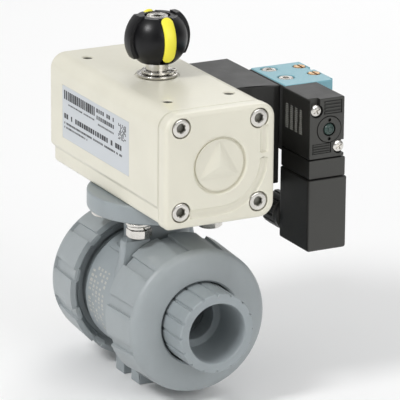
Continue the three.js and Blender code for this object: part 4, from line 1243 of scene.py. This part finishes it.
class BALLVALVE_OT_drive(BallValveOperator, bpy.types.Operator):
    """Builds the washer and circlip at the visible top of the drive, and gives the shaft and the pistons
    their finish
    """
    bl_idname = "ball_valve.drive"
    bl_label = "Drive"

    def build(self, size):
        dress("steel", "pinion_shaft")
        dress("aluminium", "piston_front", "piston_rear")
        dress("rubber", "piston_ring_front", "piston_ring_rear")
        low, high = span("thrust_washer", Z)
        finished(turned(ring(5.4, 9.1, low, high, 0.3), Z, angles=circle_angles(96)),
                 "thrust_washer_turned", material("steel"), "housing", "steel", "thrust_washer")
        low, high = span("circlip", Z)
        clip = turned(ring(4.7, 7.0, low, high, 0.15), Z, angles=circle_angles(96))
        for y in (-2.6, 2.6):
            ear = rod(1.3, low, high, Z, (7.0, y), 0.15, 32)
            joined(clip, cut(ear, rod(0.55, low - 1, high + 1, Z, (7.2, y), count=20)))
        cut(clip, block((0.0, 10.0), (-1.2, 1.2), (low - 1, high + 1)))
        for y in (-2.6, 2.6):
            cut(clip, rod(0.55, low - 1, high + 1, Z, (7.2, y), count=20))
        finished(turned_about(clip, Z, 50.0), "circlip_bent", material("steel"), "drive_train",
                 "steel", "circlip")


class BALLVALVE_OT_indicator(BallValveOperator, bpy.types.Operator):
    """Builds the position indicator: the black ball with its fins, two yellow stripes and the screw"""
    bl_idname = "ball_valve.indicator"
    bl_label = "Position Indicator"

    def build(self, size):
        radius, fin_radius, fin_half = 13.5, 15.2, 3.0
        centre = TOP_Z + 17.4
        top = span("indicator_screw", Z)[1] + 0.1
        fin_top = span("indicator_ball", Z)[1]
        low_angle = -math.degrees(math.asin((centre - KNOB_BOTTOM) / radius))
        high_angle = math.degrees(math.asin((top - centre) / radius))
        side = arc(0.0, centre, radius, low_angle, high_angle, 40)
        profile = [(0.0, KNOB_BOTTOM)] + side + [(0.0, top)]
        ball = turned(eased(profile, 0.45, 3, closed=False), Z, angles=circle_angles(128))
        fins = turned([(0.0, centre - fin_radius)]
                      + arc(0.0, centre, fin_radius, -88, 88, 60)
                      + [(0.0, centre + fin_radius)], Z, angles=circle_angles(160))
        shared(fins, block((-fin_half, fin_half), (-20.0, 20.0), (TOP_Z + 9.3, fin_top), 0.5))
        cut(fins, block((-4.0, 4.0), (-7.7, 7.7), (top - 1.0, top + 5.0)))
        joined(ball, fins)
        stripe_low = span("indicator_stripe_front", Z)[0]
        half = size.stripe_width / MM / 2
        slot = block((-20.0, 20.0), (-half - 0.3, half + 0.3), (stripe_low - 0.3, top + 1.0), 0.0)
        inner = turned([(0.0, centre - 12.3)] + arc(0.0, centre, 12.3, -88, 88, 48)
                       + [(0.0, centre + 12.3)], Z, angles=circle_angles(96))
        cut(slot, inner, rod(6.8, KNOB_BOTTOM, top + 2, Z))
        cut(ball, slot, rod(5.85, top - 1.6, top + 2, Z), rod(2.3, KNOB_BOTTOM - 1, top, Z, count=32),
            rod(5.4, KNOB_BOTTOM - 1, TOP_Z + 13.3, Z))
        finished(ball, "indicator_knob", material("knob"), "drive_train", "black_plastic",
                 "indicator_ball")
        for end, turn in (("front", 0.0), ("rear", 180.0)):
            stripe = self.stripe(centre, radius + 0.4, stripe_low, top + 0.9, half)
            finished(turned_about(stripe, Z, turn), "indicator_band_" + end,
                     material("yellow_plastic"), "drive_train", "yellow_plastic",
                     "indicator_stripe_" + end)
        self.screw()

    def stripe(self, centre, outer, low, high, half):
        """Round-ended strip that follows the ball, thick enough to sit in its slot"""
        inner, across, along = 12.6, 10, 40
        start = math.asin((low + 0.15 - centre) / outer)
        end = math.asin((high - centre) / outer)
        arc_length = (end - start) * outer
        points, loops = [], []
        for i in range(along + 1):
            travelled = arc_length * (1 - math.cos(math.pi * i / along)) / 2
            near = min(travelled, arc_length - travelled)
            width = half * math.sqrt(max(0.0, 1 - max(0.0, 1 - near / half) ** 2))
            width = max(width, 0.02)
            turn = start + travelled / outer
            loops.append(range(len(points), len(points) + 2 * (across + 1)))
            for layer in (1, -1):
                for k in range(across + 1):
                    u = layer * (2 * k / across - 1)
                    crown = outer - 0.35 * abs(u) ** 5 - 0.35 * max(0.0, 1 - near / 0.5) ** 2
                    reach = crown if layer > 0 else inner
                    y = width * u
                    flat = math.sqrt(reach * reach - y * y)
                    points.append((flat * math.cos(turn), y, centre + flat * math.sin(turn)))
        return shape("stripe", points, loop_faces(loops))

    def screw(self):
        """Low-headed socket screw, and a dark lining in its hexagon as painted shade"""
        low, high = span("indicator_screw", Z)
        head = high - 1.2
        profile = [(0.0, low), (1.7, low), (1.7, head), (4.8, head), (5.0, head + 0.2),
                   (5.0, high - 0.35), (4.7, high), (3.6, high), (3.3, high - 0.25), (0.0, high - 0.25)]
        screw = turned(profile, Z)
        cut(screw, prism(drawn_in(hexagon(3.5)), Z, high - 1.6, high + 1.0))
        finished(screw, "indicator_screw_turned", material("steel"), "drive_train", "steel",
                 "indicator_screw")
        # dark liner in the hexagon: painted shade
        liner = prism(drawn_in(hexagon(3.46)), Z, high - 1.58, high - 0.35)
        cut(liner, prism(drawn_in(hexagon(3.1)), Z, high - 1.35, high))
        finished(liner, "indicator_screw_socket", material("shade_dark_steel"), "drive_train", "steel")


class BALLVALVE_OT_label(BallValveOperator, bpy.types.Operator):
    """Builds the label film and its generic print"""
    bl_idname = "ball_valve.label"
    bl_label = "Label"

    def build(self, size):
        x, y, z = (span("label", axis) for axis in (X, Y, Z))
        film = prism(rounded_rectangle(x[0], x[1], z[0], z[1], (0.8,) * 4), Y, y[0], y[1])
        finished(film, "label_film", material("label_paper"), "housing", "label_paper", "label")
        ink_y = y[0] + INK_THICKNESS / 3
        width, height = x[1] - x[0], z[1] - z[0]
        rows = (
            # columns, rows, width, height, gap share, bar height, seed, left, top
            (17, 1, 0.45, 0.00, 0.00, 0.17, 9, 0.035, 0.165),
            (24, 1, 0.38, 0.00, 0.08, 0.030, 5, 0.10, 0.325),
            (9, 2, 0.24, 0.13, 0.10, 0.075, 8, 0.53, 0.12),
            (13, 1, 0.22, 0.00, 0.08, 0.035, 12, 0.55, 0.37),
            (8, 11, 0.10, 0.27, 0.26, 0.024, 13, 0.85, 0.13),
            (26, 1, 0.84, 0.00, 0.14, 0.095, 21, 0.04, 0.565),
            (58, 1, 0.86, 0.00, 0.12, 0.040, 34, 0.035, 0.70),
            (24, 1, 0.34, 0.00, 0.10, 0.036, 55, 0.035, 0.78),
        )
        tree = print_tree()
        prints = []
        for columns, lines, w, h, gap, bar, seed, left, top in rows:
            corner = (x[0] + width * (left + w / 2), ink_y, z[1] - height * (top + h / 2))
            prints.append(rows_of_print(
                tree, material("ink"), columns=columns, rows=lines, width=width * w,
                height=height * h, gap_share=gap, bar_height=height * bar, seed=seed, corner=corner))
        finished(beside(*prints), "label_print", material("ink"), "housing", "label_paper")


class BALLVALVE_OT_adapter(BallValveOperator, bpy.types.Operator):
    """Builds the adapter block between the actuator and the solenoid valve, and the gasket"""
    bl_idname = "ball_valve.adapter"
    bl_label = "Adapter Block"

    def build(self, size):
        near, far = span("namur_adapter", Y)
        low, high = span("namur_adapter", Z)
        half = span("namur_adapter", X)[1]
        reach, valve_port = 12.0, 3.0
        edge = size.moulded_edge / MM
        outline = [(-half, near), (half - 3.5, near), (half - 3.0, near + 9), (half, far - 3),
                   (half, far), (-half, far)]
        slab = prism(drawn_in(eased(outline, 0.5, 3)), Z, low, high, edge, edge)
        cut(slab,
            rod(3.0, near - 1, far + 1, Y, (reach, PORT_Z), count=40),
            rod(3.0, near - 1, 38.0, Y, (-reach, PORT_Z), count=40),
            rod(2.0, -reach, valve_port, X, (36.0, PORT_Z), count=32),
            rod(2.5, 35.0, far + 1, Y, (valve_port, PORT_Z), count=40))
        finished(slab, "adapter_block", material("adapter_grey"), "housing", "adapter_grey",
                 "namur_adapter")
        x, y, z = (span("valve_gasket", axis) for axis in (X, Y, Z))
        sheet = prism(rounded_rectangle(x[0], x[1], z[0], z[1], (1.0,) * 4), Y, y[0], y[1], 0.1, 0.1, 2)
        for at in (valve_port, reach):
            cut(sheet, rod(3.2, y[0] - 1, y[1] + 1, Y, (at, PORT_Z), count=40))
        finished(sheet, "valve_seal", material("rubber"), "housing", "gasket_pale", "valve_gasket")


class BALLVALVE_OT_solenoid_valve(BallValveOperator, bpy.types.Operator):
    """Builds the painted solenoid valve body with its screws and port plugs"""
    bl_idname = "ball_valve.solenoid_valve"
    bl_label = "Solenoid Valve"

    def build(self, size):
        x, y, z = (span("solenoid_valve_body", axis) for axis in (X, Y, Z))
        spool_y, spool_z = middle("spool", Y), middle("spool", Z)
        screws = [(middle("mount_screw_%d" % i, X), middle("mount_screw_%d" % i, Y)) for i in (1, 2)]
        plugs = [(middle("brass_plug_%d" % i, X), middle("brass_plug_%d" % i, Y)) for i in (1, 2)]
        body = block(x, y, z, size.moulded_edge / MM)
        for across, depth in (((26.0, x[1] + 1), 1.6), ((5.4, 10.0), 2.0)):
            cut(body, block(across, (y[1] - depth, y[1] + 1), (z[0] - 1, z[1] + 1)))
        cut(body, rod(4.8, -2.0, x[1] + 1, X, (spool_y, spool_z)))
        for at in (3.0, 12.0):
            cut(body, rod(2.5, y[0] - 1, spool_y, Y, (at, PORT_Z), count=32))
        for at in screws:
            cut(body, self.mouth(3.9, z[1] - 1.6, z[1], at),
                rod(1.9, z[1] - 10, z[1], Z, at, count=32))
        for at in plugs:
            cut(body, self.mouth(3.1, z[1] - 4.0, z[1], at))
        finished(body, "solenoid_valve_painted", material("teal_paint"), "housing", "teal_paint",
                 "solenoid_valve_body")
        dress("aluminium", "spool")
        for i, at in enumerate(screws, 1):
            low, high = span("mount_screw_%d" % i, Z)
            head = high - 1.2
            profile = [(0.0, low), (1.6, low), (1.6, head), (3.3, head), (3.5, head + 0.2),
                       (3.5, high - 0.4), (3.1, high), (0.0, high)]
            screw = turned(profile, Z, at)
            cut(screw, prism(drawn_in(hexagon(2.5, *at)), Z, high - 0.9, high + 1))
            finished(screw, "mounting_screw_%d" % i, material("steel"), "housing", "steel",
                     "mount_screw_%d" % i)
        for i, at in enumerate(plugs, 1):
            low, high = span("brass_plug_%d" % i, Z)
            plug = turned([(0.0, low), (2.8, low), (2.8, high - 0.3), (2.5, high), (0.0, high)], Z, at)
            cut(plug, block((at[0] - 4, at[0] + 4), (at[1] - 0.5, at[1] + 0.5), (high - 1.0, high + 1)))
            finished(plug, "port_plug_%d" % i, material("brass"), "housing", "brass",
                     "brass_plug_%d" % i)

    def mouth(self, radius, low, high, at):
        """Cutter for a hole down from the top with a small countersink"""
        profile = [(0.0, low), (radius, low), (radius, high - 0.3), (radius + 0.4, high + 0.1),
                   (radius + 0.4, high + 1), (0.0, high + 1)]
        return turned(profile, Z, at)


class BALLVALVE_OT_pilot(BallValveOperator, bpy.types.Operator):
    """Builds the pilot block with its manual override, corner screws and small print"""
    bl_idname = "ball_valve.pilot"
    bl_label = "Pilot"

    def build(self, size):
        x, y, z = (span("pilot_block", axis) for axis in (X, Y, Z))
        at = (middle("override_retainer", Y), middle("override_retainer", Z))
        screws = [(middle("pilot_screw_%d" % i, Y), middle("pilot_screw_%d" % i, Z)) for i in (1, 2)]
        notch = PILOT_FACE - 2.8
        face = PILOT_FACE
        upper, lower = screws
        body = block(x, y, z, size.moulded_edge / MM)
        cut(body,
            rod(3.1, notch, face + 1, X, upper, count=48),
            block((notch, face + 1), (upper[0] - 3.1, upper[0] + 1.6), (upper[1], z[1] + 1)),
            rod(3.1, notch, face + 1, X, lower, count=48),
            block((notch, face + 1), (lower[0], y[1] + 1), (lower[1] - 3.1, lower[1] + 3.1)),
            rod(6.2, face - 1.5, face + 1, X, at),
            rod(2.9, face - 8, face, X, at, count=48))
        panels = (((upper[0] + 3.6, y[1] - 1.4), (upper[1] - 1.9, z[1] - 1.2)),
                  ((y[0] + 1.4, lower[0] - 4.0), (lower[1] - 2.2, lower[1] + 2.4)))
        for across, up in panels:
            cut(body, block((face - 0.6, face + 1), across, up, 0.0))
            for i in range(4):
                step = (up[1] - up[0]) / 4
                middle_z = up[0] + step * (i + 0.5)
                joined(body, block((face - 0.9, face - 0.05), (across[0] + 0.6, across[1] - 0.6),
                                   (middle_z - step * 0.25, middle_z + step * 0.25), 0.08, 1))
        for hole in screws:
            cut(body, rod(1.4, notch - 8, notch + 1, X, hole, count=24))
        finished(body, "pilot_housing", material("black_plastic"), "housing", "black_plastic",
                 "pilot_block")
        self.override(at)
        for i, place in enumerate(screws, 1):
            self.cross_screw(i, place)
        sheet = rows_of_print(
            print_tree(), material("white_ink"), columns=4, rows=13, width=12.5, height=10.5,
            gap_share=0.0, bar_height=0.22, seed=4, corner=(face - 14.5, y[0] + 0.01, TOP_Z - 16.0))
        finished(sheet, "pilot_print", material("white_ink"), "housing", "black_plastic")

    def override(self, at):
        """Retainer ring round the button, and the domed button"""
        low, high = span("override_retainer", X)
        retainer = turned(eased([(3.0, low), (5.9, low), (5.9, high), (3.0, high)], 0.35, 3), X, at)
        for z in (-4.3, 4.3):
            cut(retainer, rod(0.8, low + 0.2, high + 1, X, (at[0], at[1] + z), count=24))
        finished(retainer, "override_ring", material("black_plastic"), "housing", "black_plastic",
                 "override_retainer")
        low, high = span("override_button", X)
        profile = [(0.0, low), (2.4, low), (2.6, low + 0.3), (2.6, high - 1.9)]
        profile += [(2.6 * math.cos(t), high - 1.9 + 1.9 * math.sin(t))
                    for t in (math.radians(10 * i) for i in range(1, 9))] + [(0.0, high)]
        button = turned(profile, X, at)
        cut(button, turned([(1.05, high - 0.55), (1.3, high - 0.55), (1.3, high + 1),
                            (1.05, high + 1)], X, at))
        finished(button, "override_dome", material("button_green"), "override", "button_green",
                 "override_button")

    def cross_screw(self, number, at):
        """Round-headed screw with two crossed slots"""
        low, high = span("pilot_screw_%d" % number, X)
        head = high - 2.3
        profile = [(0.0, low), (1.1, low), (1.1, head), (2.8, head), (2.8, high - 0.9),
                   (2.6, high - 0.45), (2.1, high - 0.15), (1.3, high), (0.0, high)]
        screw = turned(profile, X, at)
        for turn in (30, 120):
            slot = block((high - 1.1, high + 1), (at[0] - 1.7, at[0] + 1.7), (at[1] - 0.3, at[1] + 0.3))
            cut(screw, turned_about(slot, X, turn, (0.0, *at)))
        finished(screw, "cross_head_screw_%d" % number, material("steel"), "housing", "steel",
                 "pilot_screw_%d" % number)


class BALLVALVE_OT_connector(BallValveOperator, bpy.types.Operator):
    """Builds the collar, the connector housing and the ribbed cable gland"""
    bl_idname = "ball_valve.connector"
    bl_label = "Connector"

    def build(self, size):
        x, y, z = (span("connector_collar", axis) for axis in (X, Y, Z))
        collar = block(x, y, z, size.moulded_edge / MM)
        finished(collar, "connector_neck", material("black_plastic"), "housing", "black_plastic",
                 "connector_collar")
        x, y, z = (span("connector_box", axis) for axis in (X, Y, Z))
        gland = (middle("cable_gland", Y), middle("cable_gland", Z))
        outline = rounded_rectangle(*x, *y, (1.3,) * 4, 6)
        case = prism(outline, Z, z[0], z[1], 1.0, 0.8)
        cut(case, block((x[0] + 2.5, x[1] - 2.5), (y[0] + 2.4, y[1] - 2.4), (z[0] + 2.5, z[1] + 1), 0.6),
            rod(4.6, x[0] - 3, x[0] + 4, X, gland, count=48))
        finished(case, "connector_case", material("black_plastic"), "housing", "black_plastic",
                 "connector_box")
        low, high = span("cable_gland", X)
        radius = (span("cable_gland", Z)[1] - span("cable_gland", Z)[0]) / 2
        flutes, soft, groove = 14, 0.25, 1.2
        steps = 12
        wall = [(radius, low + 1.0 + (high - 5.0 - low) * i / steps) for i in range(steps + 1)]
        profile = ([(4.9, low), (radius - 0.9, low), (radius - 0.25, low + 0.3)] + wall
                   + [(radius - 0.8, high - 3.6), (radius - 0.8, high - 3.0), (radius, high - 2.6),
                      (radius, high - 0.3), (radius - 0.3, high), (4.6, high), (4.6, low + 0.3)])
        sleeve = turned(profile, X, gland, pad_angles(flutes, groove / radius, soft / radius, 0.0, 3))
        use_tree(sleeve, groove_tree(), count=flutes, width=groove, depth=0.6, phase=0.0,
                 softness=soft, from_x=low - 2.0, to_x=high - 4.6, beyond_radius=radius - 0.5,
                 axis_y=gland[0], axis_z=gland[1], material=material("black_plastic"))
        finished(sleeve, "cable_gland_fluted", material("black_plastic"), "housing",
                 "black_plastic", "cable_gland", smooth=28.0)


class BALLVALVE_OT_stage(BallValveOperator, bpy.types.Operator):
    """Sets the floor, the soft studio light and the camera"""
    bl_idname = "ball_valve.stage"
    bl_label = "Stage"

    def build(self, size):
        half = 4.0
        corners = [(-half, -half, 0), (half, -half, 0), (half, half, 0), (-half, half, 0)]
        mesh = bpy.data.meshes.new("floor")
        mesh.from_pydata(corners, [], [[0, 1, 2, 3]])
        floor = linked("floor", mesh)
        finish, tree, shader, place = surface("pale_floor", **{"Specular IOR Level": 0.2})
        cloud = noise(tree, place, 3.0, 2.0)
        join_paint(tree, shader, shades(tree, cloud, (0.93, 0.93, 0.93), 0.99, 1.0),
                   ramp(tree, cloud, 0.3, 0.7, 0.75, 0.85), bump(tree, cloud, 0.0001, 0.1))
        mesh.materials.append(finish)
        world = bpy.data.worlds.new("studio")
        world.use_nodes = True
        self.sky(world.node_tree)
        bpy.context.scene.world = world
        bpy.context.scene.view_settings.view_transform = "Standard"
        aim = Vector((0.0, 0.0, 0.085))
        lights = (
            # name, place, width, watts
            ("key_light", (0.24, -1.0, 1.12), 0.4, 9.5),
            ("side_light", (1.25, 0.25, 0.65), 0.8, 4.5),
            ("back_light", (-0.8, 0.7, 0.9), 0.9, 5.0),
        )
        for name, place, width, watts in lights:
            data = bpy.data.lights.new(name, "AREA")
            data.shape = "DISK"
            data.size = width
            data.energy = watts
            lamp = linked(name, data)
            lamp.location = place
            lamp.rotation_euler = (aim - Vector(place)).to_track_quat("-Z", "Y").to_euler()
        self.camera()

    def sky(self, tree):
        """Soft studio walls: brighter and darker screens round the horizon, pale overhead"""
        way = add_node(tree, "ShaderNodeSeparateXYZ", {
            0: add_node(tree, "ShaderNodeTexCoord").outputs["Generated"]})
        turn = calc(tree, "ARCTAN2", way.outputs[1], way.outputs[0])
        screens = ramp(tree, calc(tree, "SINE", calc(tree, "MULTIPLY", turn, 4.0)), -0.5, 0.5, 0.22, 0.68)
        overhead = ramp(tree, way.outputs[2], 0.35, 0.9)
        glow = add_node(tree, "ShaderNodeMix", {0: overhead, 2: screens, 3: 0.60}, data_type="FLOAT")
        back = tree.nodes["Background"]
        back.inputs["Color"].default_value = (1.0, 1.0, 1.0, 1.0)
        tree.links.new(glow.outputs[0], back.inputs["Strength"])

    def camera(self):
        """Camera round the valve at its azimuth, elevation and roll"""
        azimuth, elevation, roll = (math.radians(a) for a in (62.47, 17.659, 0.437))
        focal_length, place = 311.78, (1.325909, -0.669122, 0.555327)
        back = Vector((math.sin(azimuth) * math.cos(elevation),
                       -math.cos(azimuth) * math.cos(elevation), math.sin(elevation)))
        right = (-back).cross(Vector((0.0, 0.0, 1.0))).normalized()
        up = right.cross(-back)
        right, up = (math.cos(roll) * right + math.sin(roll) * up,
                     math.cos(roll) * up - math.sin(roll) * right)
        data = bpy.data.cameras.new("camera")
        data.lens = focal_length
        data.sensor_width = 36.0
        data.clip_start, data.clip_end = 0.05, 20.0
        camera = linked("camera", data)
        turn = Matrix((right, up, back)).transposed().to_4x4()
        camera.matrix_world = Matrix.Translation(place) @ turn
        bpy.context.scene.camera = camera


PIECE_OPERATORS = (
    BALLVALVE_OT_stage,
    BALLVALVE_OT_valve_body,
    BALLVALVE_OT_ball_and_seats,
    BALLVALVE_OT_end_connectors,
    BALLVALVE_OT_union_nuts,
    BALLVALVE_OT_flange_bolts,
    BALLVALVE_OT_casing,
    BALLVALVE_OT_end_cap,
    BALLVALVE_OT_drive,
    BALLVALVE_OT_indicator,
    BALLVALVE_OT_label,
    BALLVALVE_OT_adapter,
    BALLVALVE_OT_solenoid_valve,
    BALLVALVE_OT_pilot,
    BALLVALVE_OT_connector,
)


class BALLVALVE_PT_panel(bpy.types.Panel):
    """Lists the pieces, the sizes and the colours"""
    bl_idname = "BALLVALVE_PT_panel"
    bl_label = "Actuated Ball Valve"
    bl_space_type = "VIEW_3D"
    bl_region_type = "UI"
    bl_category = "Ball Valve"

    def draw(self, context):
        column = self.layout.column(align=True)
        for operator in PIECE_OPERATORS:
            column.operator(operator.bl_idname)
        for group in (sizes(), colours()):
            box = self.layout.box()
            for key in group.__annotations__:
                box.prop(group, key)


CLASSES = (BallValveSizes, BallValveColours, *PIECE_OPERATORS, BALLVALVE_PT_panel)


def register():
    for cls in CLASSES:
        bpy.utils.register_class(cls)
    bpy.types.Scene.ball_valve_sizes = bpy.props.PointerProperty(type=BallValveSizes)
    bpy.types.Scene.ball_valve_colours = bpy.props.PointerProperty(type=BallValveColours)


def unregister():
    del bpy.types.Scene.ball_valve_colours
    del bpy.types.Scene.ball_valve_sizes
    for cls in reversed(CLASSES):
        bpy.utils.unregister_class(cls)


def main():
    register()
    for operator in PIECE_OPERATORS:
        group, name = operator.bl_idname.split(".")
        getattr(getattr(bpy.ops, group), name)()


if __name__ == "__main__":
    main()
